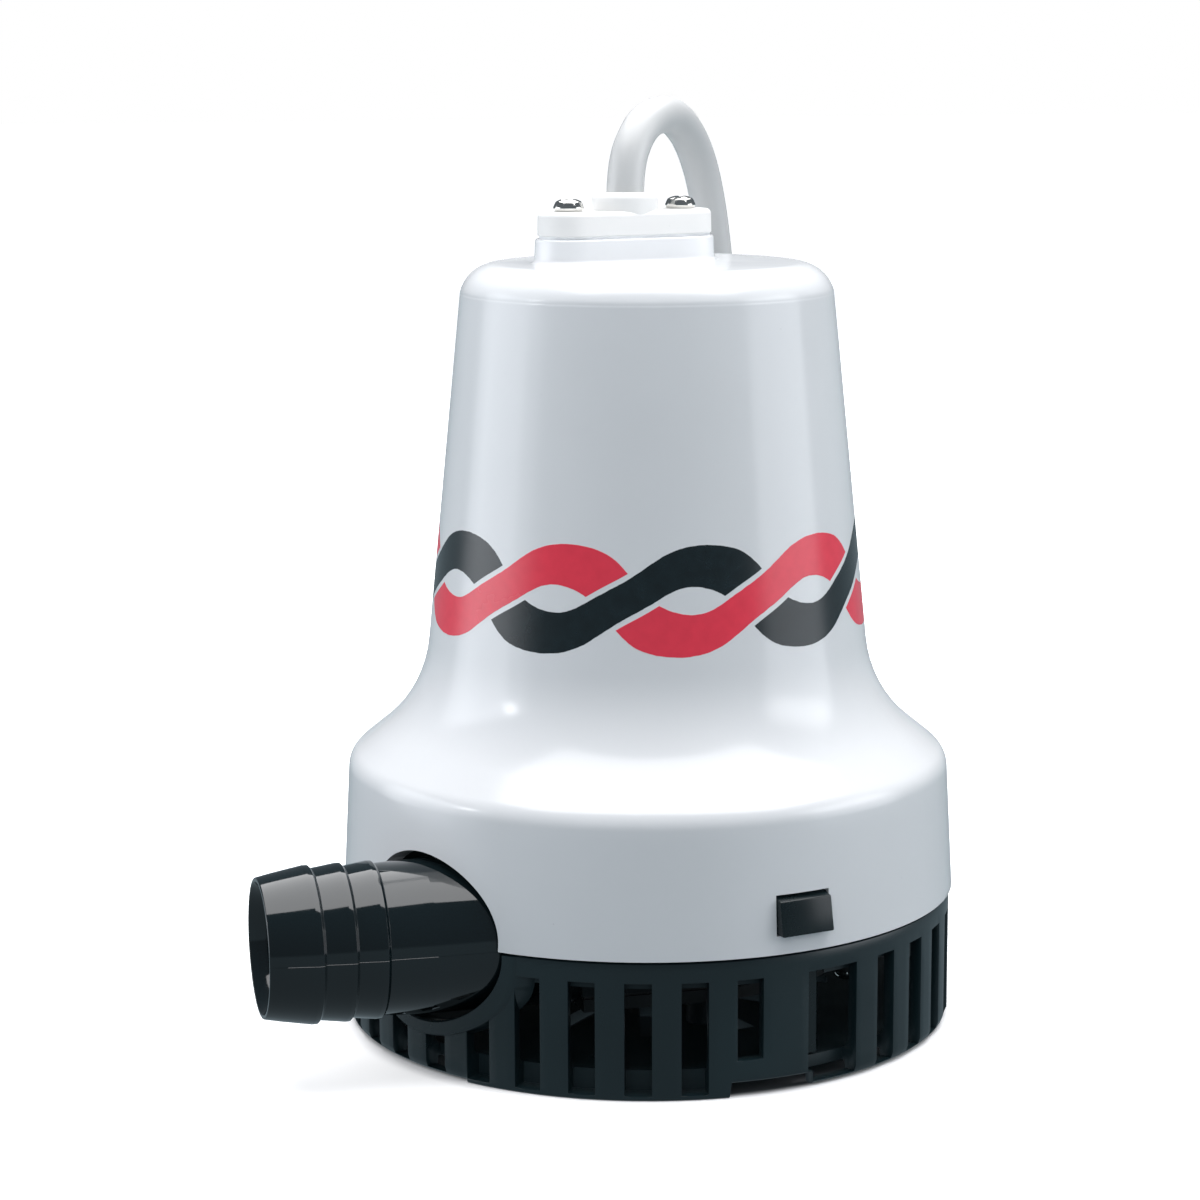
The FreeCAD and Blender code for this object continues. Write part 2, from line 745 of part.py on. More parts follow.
slots = [radial_box(9.5, 17.4, 4.0, 70, 114, 40 * k) for k in range(9)]
gaps = [radial_box(16, 20, 1.8, 70, 114, 40 * k) for k in range(9)]
nodes["armature_core"] = cut(
    cyl(D.core_rad, 40, (0, 0, 72)), cyl(D.shaft_rad, 60, (0, 0, 62)), *slots, *gaps
)
coil_slots = [radial_box(9.8, 17.1, 3.5, 71, 113, 40 * k) for k in range(9)]
nodes["armature_windings"] = cut(
    fuse(
        turned_body(
            "winding_low",
            [(6.2, 64.5), (7.6, 63.2), (15.6, 63.2), (17.6, 65.6), (17.6, 71.9), (6.2, 71.9)],
        ),
        turned_body(
            "winding_high",
            [(6.2, 112.1), (17.6, 112.1), (17.6, 116.6), (15.6, 118.8), (7.6, 118.8), (6.2, 117.6)],
        ),
        *coil_slots
    ),
    cyl(6.2, 80, (0, 0, 55)),
)
nodes["commutator"] = cut(
    fuse(cyl(6.0, 9.4, (0, 0, 119.6)), cyl(7.0, 1.4, (0, 0, 119.6))),
    cyl(D.shaft_rad, 20, (0, 0, 115)),
    *[radial_box(4.4, 6.4, 0.5, 121.6, 130, 40 * k + 20) for k in range(9)]
)

# ---------------------------------------------------------------- motor
can = D.can_rad
nodes["motor_can"] = ring(can, can - 1.6, D.can_low, D.can_top)
MAG = 132
for name, turn in (("field_magnet_right", -MAG / 2), ("field_magnet_left", 180 - MAG / 2)):
    nodes[name] = cut(
        cyl(can - 1.7, 50, (0, 0, 67), turned(turn), MAG), cyl(19.4, 60, (0, 0, 60))
    )
BOLTS = [(0, 21.9), (0, -21.9)]
nodes["motor_front_plate"] = cut(
    fuse(
        cyl(can, 4, (0, 0, 52.0)),
        ring(can - 1.7, can - 3.2, 55.5, 59.0),
        cyl(7.5, 9.5, (0, 0, 50.5)),
    ),
    cyl(5.6, 12, (0, 0, 49)),
    *[cyl(D.screw_rad + 0.05, 12, (x, y, 49)) for x, y in BOLTS]
)
nodes["lower_bearing"] = cut(
    fuse(cyl(5.5, 10.1, (0, 0, 49.6)), cyl(7.0, 0.9, (0, 0, 49.6))),
    cyl(D.shaft_rad + 0.04, 20, (0, 0, 45)),
)
LEADS = [(10.4, 9.0), (-10.4, 9.0)]
nodes["motor_end_cap"] = cut(
    fuse(
        cyl(can, 3, (0, 0, D.can_top)),
        ring(can - 1.7, can - 3.2, 129.8, 133.2),
        cyl(7.5, 8, (0, 0, 131.5)),
    ),
    cyl(5.6, 12, (0, 0, 130)),
    *[cyl(D.screw_rad + 0.1, 12, (x, y, 128)) for x, y in BOLTS],
    *[cyl(1.6, 12, (x, y, 128)) for x, y in LEADS]
)
nodes["upper_bearing"] = cut(
    cyl(5.5, 7.5, (0, 0, 131.7)), cyl(D.shaft_rad + 0.04, 20, (0, 0, 125))
)
nodes["motor_bolts"] = group(
    *[
        fuse(cyl(D.screw_rad, 84.0, (x, y, 52.2)), cyl(2.8, 2.4, (x, y, 136.0)))
        for x, y in BOLTS
    ]
)
nodes["thrust_washers"] = group(
    ring(5.6, D.shaft_rad + 0.15, Dim(61.2, "61.2"), Dim(62.2, "62.2")),
    ring(5.6, D.shaft_rad + 0.15, Dim(129.9, "129.9"), Dim(130.9, "130.9")),
)
# the brush card with its two holders, brushes and leaf springs
holders = [box(10.4, 8.2, 7.4, (10.2 if k else -20.6, -4.1, 120.8)) for k in (0, 1)]
pockets = [box(10.4, 5.2, 5.2, (8.0 if k else -18.4, -2.6, 122.0)) for k in (0, 1)]
nodes["brush_card"] = cut(
    fuse(ring(24.1, 9.2, Dim(126.0, "126.0"), Dim(128.2, "128.2")), *holders),
    *pockets,
    *[cyl(D.screw_rad + 0.4, 12, (x, y, 120)) for x, y in BOLTS],
    *[cyl(1.2, 12, (x, y, 120)) for x, y in LEADS]
)
nodes["brush_right"] = box(8.4, 5.0, 5.0, (6.3, -2.5, 122.1))
nodes["brush_left"] = box(8.4, 5.0, 5.0, (-14.7, -2.5, 122.1))
spring = []
for side in (-1, 1):
    x = 14.75 if side > 0 else -15.15
    far = 17.8 if side > 0 else -18.2
    spring.append(
        fuse(
            box(0.4, 4.4, 4.4, (x, -2.2, 122.4)),
            box(3.4, 0.4, 4.4, (min(x, far) if side > 0 else far, -2.2 if side > 0 else 1.8, 122.4)),
            box(0.4, 4.4, 4.4, (far, -2.2, 122.4)),
        )
    )
nodes["brush_springs"] = group(*spring)

lead_tubes = []
for side, (x, y) in zip((1, -1), LEADS):
    end = (num(D.cap_x) + 1.3 * side, num(D.cap_y))
    lead_tubes.append(
        route_tube(
            [
                (x, y, 128.3),
                (x, y, 137.6),
                (x + (end[0] - x) * 0.42, y + (end[1] - y) * 0.42, 141.6),
                (end[0] + (x - end[0]) * 0.12, end[1] + (y - end[1]) * 0.12, 142.8),
                (end[0], end[1], 146.5),
            ],
            0.9,
            "motor lead",
        )
    )
nodes["motor_leads"] = group(*lead_tubes)

# ---------------------------------------------------------------- strainer base
basket_shell = turned_body(
    "basket",
    [
        (0, D.floor_low),
        (56.2, D.floor_low),
        (56.2, D.base_low),
        (D.base_rad, D.base_low),
        (D.base_rad, D.base_top),
        (D.spigot_out, D.base_top),
        (D.spigot_out, D.spigot_top),
        (D.spigot_in, D.spigot_top),
        (D.spigot_in, D.slot_top + 0.6),
        (D.base_in, D.slot_top - 1.8),
        (D.base_in, D.floor_top),
        (0, D.floor_top),
    ],
    [
        (2.0, [(D.base_rad, D.base_low)]),
        (2.2, [(D.base_in, D.floor_top)]),
    ],
)
# three feet, each an arc of 49.5 degrees, flush with the wall
FOOT = 49.5
FEET = [-25.75, 94.25, 214.25]
feet = []
for phi in FEET:
    a = phi - 90 - FOOT / 2
    feet.append(
        cut(
            cyl(D.base_rad, D.floor_top, (0, 0, 0), turned(a), FOOT),
            cyl(41.5, 20, (0, 0, -5)),
        )
    )
    feet.append(
        cut(
            cyl(D.base_rad, 8.0, (0, 0, 0), turned(a), FOOT),
            cyl(D.base_in - 0.2, 20, (0, 0, -5)),
        )
    )
collar = common(
    cut(
        outlet_hole(D.collar_rad, 60, -20),
        outlet_hole(D.hole_rad, 70, -15),
    ),
    ring(D.base_rad + 0.35, D.base_in - 0.6, Dim(3.0, "3.0"), D.base_top),
)
slot_tools = []
for k in range(36):
    phi = (2.3 + 10 * k) % 360
    if any(abs((phi - t + 180) % 360 - 180) < 1 for t in TAB_AT):
        continue
    if any(abs((phi - t - 10 + 180) % 360 - 180) < 1 for t in TAB_AT):
        continue
    # the slot beside a lock tab ends above the floor
    by_tab = any(abs((phi - t + 10 + 180) % 360 - 180) < 1 for t in TAB_AT)
    slot_tools.append(radial_box(55.9, 62, D.slot_wide, 6.9 if by_tab else 0.9, D.slot_top, phi))
# the wide slot runs down to the rim, but the rear one ends above its foot
for t, low in zip(TAB_AT, (0.9, 6.9)):
    slot_tools.append(radial_box(55.9, 62, 11.2, low, D.slot_top + 0.1, t + 6.7))
# the wall's lower edge is cut away beside each lock tab
reliefs = [
    cut(radial_box(50, 62, 17.1, -1, 2.8, t - 5.55), cyl(55.9, 8, (0, 0, -2)))
    for t in TAB_AT
]
slot_cut = cut(fuse(*slot_tools), outlet_hole(D.collar_rad, 60, -20))
rests = [cyl(2.6, D.cover_low - D.floor_top + 0.5, (*polar(28, a), D.floor_top - 0.5)) for a in (5, 95, 185, 275)]
ears = []
for t in TAB_AT:
    c = math.radians(t)
    for side in (-1, 1):
        off = side * 6.85
        x = 53.4 * math.sin(c) + off * math.cos(c)
        y = -53.4 * math.cos(c) + off * math.sin(c)
        ears.append(
            box(4.3, 1.8, 5.2, (x - 0.9 * math.cos(c), y - 0.9 * math.sin(c), D.floor_top - 0.5), turned(t - 90))
        )
inlets = [radial_box(17, 36, 4.0, 0, 8, 15 + 30 * k) for k in range(12)]
nodes["strainer_basket"] = cut(
    fuse(basket_shell, *feet, collar, *rests, *ears),
    slot_cut,
    *reliefs,
    *inlets,
    outlet_hole(D.hole_rad, 60, -20),
    common(
        outlet_hole(D.hole_rad + 1.0, 60, -20),
        ring(D.spigot_out + 0.05, D.spigot_in - 2, Dim(22.0, "22.0"), Dim(34.0, "34.0")),
    ),
    *[radial_box(50, 56.6, D.tab_wide + 0.8, D.floor_top, 34, t) for t in TAB_AT],
    *[radial_box(50, 57.3, D.tab_wide + 0.8, D.base_top, 34, t) for t in TAB_AT],
    *[cyl(D.base_hole, 20, (*polar(D.base_pcd / 2, p - 90), -5)) for p in FEET]
)

# ---------------------------------------------------------------- lock tabs
for name, t in zip(("lock_tab_front", "lock_tab_rear"), TAB_AT):
    arm = radial_box(54.2, 56.0, D.tab_wide, 5.1, 37.0, t)
    head = radial_box(Dim(55.5, "55.5"), D.tab_out, D.tab_wide, D.tab_low, 37.0, t)
    # the head's upper edge slopes back into the window
    c = math.radians(t)
    lift = box(
        9,
        20,
        4,
        (
            (num(D.tab_out) - 8.6) * math.sin(c) - 10 * math.cos(c),
            -(num(D.tab_out) - 8.6) * math.cos(c) - 10 * math.sin(c),
            D.tab_top + 2.63,
        ),
        turned(t - 90).multiply(Rotation(V(0, 1, 0), 17)),
    )
    # and its face leans back
    face = box(
        6,
        20,
        12,
        (
            (num(D.tab_out) + 0.02) * math.sin(c) - 10 * math.cos(c),
            -(num(D.tab_out) + 0.02) * math.cos(c) - 10 * math.sin(c),
            D.tab_low - 0.1,
        ),
        turned(t - 90).multiply(Rotation(V(0, 1, 0), -11)),
    )
    nodes[name] = cut(fuse(arm, head), lift, face)

# ---------------------------------------------------------------- supply cord
CORD = [
    (-3.2, 4.05, 157.8),
    (-3.2, 4.05, 165.4),
    (-0.47, 6.76, 172.0),
    (4.25, 11.47, 175.9),
    (11.64, 20.28, 175.9),
    (18.96, 29.83, 168.9),
    (23.51, 35.18, 156.9),
    (26.34, 37.8, 138.0),
    (29.57, 42.91, 112.0),
    (33.43, 51.27, 82.0),
    (37.39, 60.02, 52.0),
    (40.42, 66.23, 35.1),
    (43.35, 71.73, 23.6),
    (47.72, 79.74, 14.1),
    (53.35, 89.57, 7.2),
    (59.39, 100.84, 3.65),
    (63.76, 112.8, 3.65),
]
cord_r = num(D.cord_rad)
nodes["power_cord"] = route_tube(CORD, cord_r, "power cord")
COIL_AT = (25.12, 123.88)
coil_ring = cut(
    cyl(44.0, 13.9, (COIL_AT[0], COIL_AT[1], 0)), cyl(29.2, 20, (COIL_AT[0], COIL_AT[1], -2))
)
doc.recompute()
coil_round = doc.addObject("Part::Fillet", "coil_round")
coil_round.Base = coil_ring
coil_round.Edges = [
    (i, 3.4, 3.4) for i, e in enumerate(coil_ring.Shape.Edges, 1) if isinstance(e.Curve, Part.Circle)
]
nodes["power_cord_coil"] = coil_round


def on_coil(angle, r, z):
    a = math.radians(angle - 16)
    return (COIL_AT[0] + r * math.cos(a), COIL_AT[1] + r * math.sin(a), z)


TAIL = [on_coil(*p) for p in ((165, 39.0, 11.0), (178, 43.5, 11.3), (192, 48.5, 8.0), (206, 51.2, 3.65), (221, 51.6, 3.65))]
nodes["power_cord_tail"] = route_tube(TAIL, cord_r, "power cord tail")
WIRE_A = [on_coil(*p) for p in ((221, 53.0, 3.2), (228, 53.6, 2.3), (237, 54.8, 1.1), (249, 57.0, 1.1), (261, 58.4, 1.1), (273, 57.6, 1.1), (283, 55.0, 1.1))]
WIRE_B = [on_coil(*p) for p in ((221, 50.2, 3.2), (229, 49.6, 2.3), (239, 49.5, 1.1), (252, 50.8, 1.1), (265, 51.4, 1.1), (277, 50.4, 1.1), (288, 48.9, 1.1))]
nodes["lead_wire_positive"] = route_tube(WIRE_A, 1.1, "lead wire a")
nodes["lead_wire_negative"] = route_tube(WIRE_B, 1.1, "lead wire b")
# a twisted tie round the coil's section, on the far side
tie_at = 62
tie = []
c = math.radians(tie_at)
for r1, r2, low, high in ((28.4, 44.8, 13.95, 14.6), (28.4, 29.1, 0.0, 14.6), (44.1, 44.8, 0.0, 14.6), (28.4, 44.8, 0.0, 0.3)):
    x = COIL_AT[0] + r1 * math.cos(c) + 1.5 * math.sin(c)
    y = COIL_AT[1] + r1 * math.sin(c) - 1.5 * math.cos(c)
    tie.append(box(r2 - r1, 3.0, high - low, (x, y, low), turned(tie_at)))
nodes["cord_tie"] = fuse(*tie)

# ---------------------------------------------------------------- export
doc.recompute()
for name, obj in nodes.items():
    obj.Label = name
bad = [o.Label for o in doc.Objects if "Invalid" in o.State or "Error" in o.State]
if bad:
    raise RuntimeError("failed objects: " + ", ".join(bad))
for name, obj in nodes.items():
    s = obj.Shape
    if s.isNull() or not s.isValid() or not s.Solids:
        raise RuntimeError("bad shape: " + name)
os.makedirs("parts", exist_ok=True)
for name, obj in nodes.items():
    obj.Shape.exportStep("parts/%s.step" % name)
    b = obj.Shape.BoundBox
    print(
        "%-20s solids %d  x %.1f %.1f  y %.1f %.1f  z %.1f %.1f  vol %.0f"
        % (name, len(obj.Shape.Solids), b.XMin, b.XMax, b.YMin, b.YMax, b.ZMin, b.ZMax, obj.Shape.Volume)
    )
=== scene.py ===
import json
import math

import bmesh
import bpy
from mathutils import Matrix, Vector


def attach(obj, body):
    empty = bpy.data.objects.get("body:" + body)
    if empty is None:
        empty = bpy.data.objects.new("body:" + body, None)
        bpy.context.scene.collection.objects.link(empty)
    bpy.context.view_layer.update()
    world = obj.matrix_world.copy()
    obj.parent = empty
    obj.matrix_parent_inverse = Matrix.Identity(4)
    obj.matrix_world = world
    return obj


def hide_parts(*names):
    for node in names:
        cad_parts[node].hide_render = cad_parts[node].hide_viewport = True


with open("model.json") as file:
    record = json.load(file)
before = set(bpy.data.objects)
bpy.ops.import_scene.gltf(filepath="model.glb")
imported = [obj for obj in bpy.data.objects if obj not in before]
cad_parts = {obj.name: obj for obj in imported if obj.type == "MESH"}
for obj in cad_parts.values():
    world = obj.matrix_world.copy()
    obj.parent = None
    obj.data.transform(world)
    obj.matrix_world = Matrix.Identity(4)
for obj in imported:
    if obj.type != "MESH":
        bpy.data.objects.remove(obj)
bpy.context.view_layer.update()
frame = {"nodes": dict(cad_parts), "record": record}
MM = 0.001
scene = bpy.context.scene
for old in [o for o in bpy.data.objects if o.type in ("CAMERA", "LIGHT")]:
    bpy.data.objects.remove(old)


def rad(a):
    return math.radians(a)


# ------------------------------------------------------------------ camera
PITCH, YAW, ROLL, TURN = 0.1759, -0.0158, 0.0042, rad(16)


def turned(v):
    c, s = math.cos(TURN), math.sin(TURN)
    return Vector((v[0] * c + v[1] * s, -v[0] * s + v[1] * c, v[2]))


def make_camera():
    sy, cy, sp, cp = math.sin(YAW), math.cos(YAW), math.sin(PITCH), math.cos(PITCH)
    ahead = Vector((sy * cp, cy * cp, -sp))
    up0 = Vector((sy * sp, cy * sp, cp))
    side = Vector((cy, -sy, 0))
    right = side * math.cos(ROLL) - up0 * math.sin(ROLL)
    up = side * math.sin(ROLL) + up0 * math.cos(ROLL)
    ahead, right, up = turned(ahead), turned(right), turned(up)
    cam = bpy.data.objects.new("camera", bpy.data.cameras.new("camera"))
    scene.collection.objects.link(cam)
    m = Matrix.Identity(4)
    for i in range(3):
        m[i][0], m[i][1], m[i][2] = right[i], up[i], -ahead[i]
    m[0][3], m[1][3], m[2][3] = -0.16179, -0.56421, 0.18639
    cam.matrix_world = m
    cam.data.sensor_fit = "HORIZONTAL"
    cam.data.angle = 2 * math.atan(600 / 3034.72)
    cam.data.clip_start = 0.01
    cam.data.clip_end = 50
    scene.camera = cam


make_camera()


# ------------------------------------------------------------------ materials
class Nodes:
    """A material's node tree, with short calls for its nodes."""

    def __init__(self, name):
        self.mat = bpy.data.materials.new(name)
        self.mat.use_nodes = True
        self.tree = self.mat.node_tree
        self.tree.nodes.clear()
        self.out = self.tree.nodes.new("ShaderNodeOutputMaterial")
        self.bsdf = self.tree.nodes.new("ShaderNodeBsdfPrincipled")
        self.link(self.bsdf.outputs[0], self.out.inputs[0])
        self._coord = None

    def link(self, a, b):
        self.tree.links.new(a, b)

    def set(self, **values):
        for key, value in values.items():
            self.bsdf.inputs[key.replace("_", " ")].default_value = value

    def coord(self):
        if self._coord is None:
            self._coord = self.tree.nodes.new("ShaderNodeTexCoord").outputs["Object"]
        return self._coord

    def scaled(self, sx, sy, sz):
        n = self.tree.nodes.new("ShaderNodeMapping")
        n.inputs["Scale"].default_value = (sx, sy, sz)
        self.link(self.coord(), n.inputs["Vector"])
        return n.outputs[0]

    def noise(self, scale, detail=2.0, rough=0.5, vector=None):
        n = self.tree.nodes.new("ShaderNodeTexNoise")
        n.inputs["Scale"].default_value = scale
        n.inputs["Detail"].default_value = detail
        n.inputs["Roughness"].default_value = rough
        self.link(vector or self.coord(), n.inputs["Vector"])
        return n.outputs["Fac"]

    def voronoi(self, scale, vector=None):
        n = self.tree.nodes.new("ShaderNodeTexVoronoi")
        n.inputs["Scale"].default_value = scale
        self.link(vector or self.coord(), n.inputs["Vector"])
        return n.outputs["Distance"]

    def math(self, op, a, b=None, c=None, clamp=False):
        n = self.tree.nodes.new("ShaderNodeMath")
        n.operation = op
        n.use_clamp = clamp
        for i, x in enumerate((a, b, c)):
            if x is None:
                continue
            if isinstance(x, (int, float)):
                n.inputs[i].default_value = x
            else:
                self.link(x, n.inputs[i])
        return n.outputs[0]

    def ramp(self, x, low, high, to_low=0.0, to_high=1.0):
        n = self.tree.nodes.new("ShaderNodeMapRange")
        n.clamp = True
        for i, v in zip((1, 2, 3, 4), (low, high, to_low, to_high)):
            n.inputs[i].default_value = v
        self.link(x, n.inputs[0])
        return n.outputs[0]

    def mix(self, fac, a, b):
        n = self.tree.nodes.new("ShaderNodeMix")
        n.data_type = "RGBA"
        if isinstance(fac, (int, float)):
            n.inputs[0].default_value = fac
        else:
            self.link(fac, n.inputs[0])
        for i, x in ((6, a), (7, b)):
            if isinstance(x, tuple):
                n.inputs[i].default_value = (*x, 1)
            else:
                self.link(x, n.inputs[i])
        return n.outputs[2]

    def colour(self, x):
        self.link(x, self.bsdf.inputs["Base Color"])

    def rough(self, x):
        self.link(x, self.bsdf.inputs["Roughness"])

    def bump(self, height, distance, strength=1.0, under=None):
        n = self.tree.nodes.new("ShaderNodeBump")
        n.inputs["Strength"].default_value = strength
        n.inputs["Distance"].default_value = distance
        self.link(height, n.inputs["Height"])
        if under is not None:
            self.link(under, n.inputs["Normal"])
        self.link(n.outputs[0], self.bsdf.inputs["Normal"])
        return n.outputs[0]


def plastic(name, colour, rough, spread=0.05, vary=0.04, peel=0.000012, ior=1.5, coat=0.0, speck=0.0, fine=0.0, dull_in=None):
    """Moulded plastic: slight tone drift, uneven gloss, flow ripple and fine
    grain; duller within dull_in (metres) of the pump's axis."""
    n = Nodes(name)
    drift = n.noise(28, 3)
    fleck = n.noise(900, 2)
    dark = tuple(c * (1 - vary) for c in colour)
    light = tuple(min(1, c * (1 + vary)) for c in colour)
    base = n.mix(n.ramp(drift, 0.35, 0.65), dark, light)
    if speck:
        spot = n.ramp(n.voronoi(420), 0.0, 0.045, 1.0, 0.0)
        thin = n.ramp(n.noise(160, 1), 0.60, 0.64)
        base = n.mix(n.math("MULTIPLY", n.math("MULTIPLY", spot, thin), speck), base, (0.25, 0.25, 0.27))
    n.colour(base)
    gloss = n.math("ADD", n.ramp(n.noise(60, 4), 0.3, 0.7, rough - spread, rough + spread), n.ramp(fleck, 0.3, 0.7, -0.012, 0.012))
    if dull_in:
        far = n.tree.nodes.new("ShaderNodeVectorMath")
        far.operation = "LENGTH"
        n.link(n.scaled(1, 1, 0), far.inputs[0])
        gloss = n.math("MAXIMUM", gloss, n.ramp(far.outputs["Value"], dull_in, dull_in + 0.002, 0.62, 0.0))
    n.rough(gloss)
    b = n.bump(n.noise(170, 2), peel)
    if fine:
        n.bump(n.noise(2600, 2), fine, under=b)
    n.set(IOR=ior)
    if coat:
        n.set(Coat_Weight=coat, Coat_Roughness=0.05)
    return n.mat


def metal(name, colour, rough, spread=0.06, scratch=0.00001, stretch=(1, 1, 1), scale=700):
    n = Nodes(name)
    lines = n.noise(scale, 3, vector=n.scaled(*stretch))
    dull = n.noise(90, 3)
    dark = tuple(c * 0.82 for c in colour)
    n.colour(n.mix(n.ramp(dull, 0.35, 0.7), colour, dark))
    n.rough(n.math("ADD", n.ramp(lines, 0.3, 0.7, rough - spread, rough + spread), n.ramp(dull, 0.3, 0.7, -0.03, 0.05)))
    n.bump(lines, scratch)
    n.set(Metallic=1.0)
    return n.mat


def rubber(name, colour, rough=0.55):
    n = Nodes(name)
    n.colour(n.mix(n.ramp(n.noise(120, 4), 0.3, 0.7), tuple(c * 0.8 for c in colour), tuple(c * 1.25 for c in colour)))
    n.rough(n.ramp(n.noise(260, 3), 0.3, 0.7, rough - 0.08, rough + 0.08))
    n.bump(n.noise(1500, 2), 0.00001)
    n.set(IOR=1.5)
    return n.mat


def speckled(name, one, two, scale, rough, metallic=0.0, low=0.45, high=0.6, bump=0.00003):
    n = Nodes(name)
    grain = n.noise(scale, 4, 0.6)
    n.colour(n.mix(n.ramp(grain, low, high), one, two))
    n.rough(n.ramp(grain, 0.3, 0.7, rough - 0.07, rough + 0.07))
    n.bump(grain, bump)
    n.set(Metallic=metallic)
    return n.mat


WHITE = (0.708, 0.721, 0.733)
RED = (0.800, 0.046, 0.080)
DARK = (0.0060, 0.0130, 0.0160)


def bell_white():
    """White gloss plastic with a printed band: two strands that wind over
    and under each other, five turns each round the cone."""
    n = Nodes("bell_white")
    sep = n.tree.nodes.new("ShaderNodeSeparateXYZ")
    n.link(n.coord(), sep.inputs[0])
    x, y, z = sep.outputs
    level = n.math("MULTIPLY", z, 1000.0)
    around = n.math("ARCTAN2", y, x)
    psi = n.math("MULTIPLY_ADD", around, 5.0, rad(378.8))
    middle, half, swell, gap = 88.98, 3.74, 0.74, 0.93
    sines, cosines = (6.36, -0.575, 0.07, -0.16), (0.36, -0.10, 0.03, -0.03)
    one = {}
    for m in range(1, 5):
        turn = n.math("MULTIPLY", psi, m)
        one[m] = n.math("SINE", turn), n.math("COSINE", turn)

    def series(orders, slope):
        """Sum of the centre line's waves of these orders, or of their slopes."""
        total = 0.0
        for m in orders:
            sine, cosine = one[m]
            a, b = sines[m - 1], cosines[m - 1]
            if slope:
                a, b = -b * m * 5 / 41.5, a * m * 5 / 41.5
            total = n.math("MULTIPLY_ADD", sine, a, n.math("MULTIPLY_ADD", cosine, b, total))
        return total

    odd, even = series((1, 3), False), series((2, 4), False)
    odd_slope, even_slope = series((1, 3), True), series((2, 4), True)

    def strand(sign):
        centre = n.math("MULTIPLY_ADD", odd, sign, n.math("ADD", even, middle))
        slope = n.math("MULTIPLY_ADD", odd_slope, sign, even_slope)
        squeeze = n.math("INVERSE_SQRT", n.math("MULTIPLY_ADD", slope, slope, 1.0))
        off = n.math("MULTIPLY", n.math("ABSOLUTE", n.math("SUBTRACT", level, centre)), squeeze)
        return n.math("MULTIPLY_ADD", one[1][1], swell * sign, off)

    d_red, d_dark = strand(1), strand(-1)
    red_over = n.math("GREATER_THAN", one[1][1], 0.0)

    def over(a, b):
        """a where the red strand is on top, b elsewhere."""
        above = n.math("MULTIPLY", a, red_over)
        return n.math("ADD", above, n.math("MULTIPLY", b, n.math("SUBTRACT", 1.0, red_over)))

    top, low = over(d_red, d_dark), over(d_dark, d_red)
    ragged = n.ramp(n.noise(700, 2), 0.3, 0.7, -0.04, 0.04)
    in_top = n.ramp(n.math("ADD", top, ragged), half - 0.05, half + 0.05, 1.0, 0.0)
    clear = n.ramp(top, half + gap - 0.05, half + gap + 0.05)
    in_low = n.math("MULTIPLY", n.ramp(n.math("ADD", low, ragged), half - 0.05, half + 0.05, 1.0, 0.0), clear)
    is_red = n.math("ADD", n.math("MULTIPLY", in_top, red_over), n.math("MULTIPLY", in_low, n.math("SUBTRACT", 1.0, red_over)))
    is_dark = n.math("ADD", n.math("MULTIPLY", in_low, red_over), n.math("MULTIPLY", in_top, n.math("SUBTRACT", 1.0, red_over)))
    drift = n.ramp(n.noise(22, 3), 0.35, 0.65)
    base = n.mix(drift, tuple(c * 0.975 for c in WHITE), tuple(min(1, c * 1.015) for c in WHITE))
    spot = n.ramp(n.voronoi(300), 0.0, 0.05, 1.0, 0.0)
    thin = n.ramp(n.noise(130, 1), 0.66, 0.69)
    base = n.mix(n.math("MULTIPLY", n.math("MULTIPLY", spot, thin), 0.55), base, (0.22, 0.22, 0.25))
    ink = n.ramp(n.noise(420, 3), 0.3, 0.7)
    base = n.mix(is_red, base, n.mix(ink, tuple(c * 0.93 for c in RED), RED))
    base = n.mix(is_dark, base, n.mix(ink, tuple(c * 0.8 for c in DARK), tuple(c * 1.25 for c in DARK)))
    n.colour(base)
    printed = n.math("ADD", is_red, is_dark, clamp=True)
    gloss = n.ramp(n.noise(45, 4), 0.3, 0.7, 0.14, 0.18)
    n.rough(n.math("MULTIPLY_ADD", printed, 0.10, gloss))
    first = n.bump(n.noise(150, 2), 0.000010)
    n.bump(printed, 0.000018, under=first)
    n.set(IOR=1.5)
    return n.mat


def windings():
    n = Nodes("enamelled_wire")
    wave = n.tree.nodes.new("ShaderNodeTexWave")
    wave.wave_type = "RINGS"
    wave.rings_direction = "Z"
    wave.inputs["Scale"].default_value = 260
    wave.inputs["Distortion"].default_value = 1.5
    n.link(n.coord(), wave.inputs["Vector"])
    n.colour(n.mix(wave.outputs["Fac"], (0.30, 0.09, 0.03), (0.72, 0.30, 0.12)))
    n.rough(n.ramp(wave.outputs["Fac"], 0, 1, 0.42, 0.22))
    n.bump(wave.outputs["Fac"], 0.00015)
    n.set(Metallic=0.85)
    return n.mat


def laminations():
    n = Nodes("laminations")
    wave = n.tree.nodes.new("ShaderNodeTexWave")
    wave.bands_direction = "Z"
    wave.inputs["Scale"].default_value = 320
    n.link(n.coord(), wave.inputs["Vector"])
    n.colour(n.mix(wave.outputs["Fac"], (0.10, 0.10, 0.105), (0.42, 0.42, 0.43)))
    n.rough(n.ramp(n.noise(300, 3), 0.3, 0.7, 0.35, 0.5))
    n.bump(wave.outputs["Fac"], 0.00006)
    n.set(Metallic=0.9)
    return n.mat


def board():
    n = Nodes("laminate_board")
    weave = n.noise(500, 3, vector=n.scaled(1, 6, 1))
    n.colour(n.mix(weave, (0.16, 0.075, 0.03), (0.36, 0.19, 0.09)))
    n.rough(n.ramp(weave, 0.3, 0.7, 0.45, 0.6))
    n.bump(weave, 0.00002)
    return n.mat


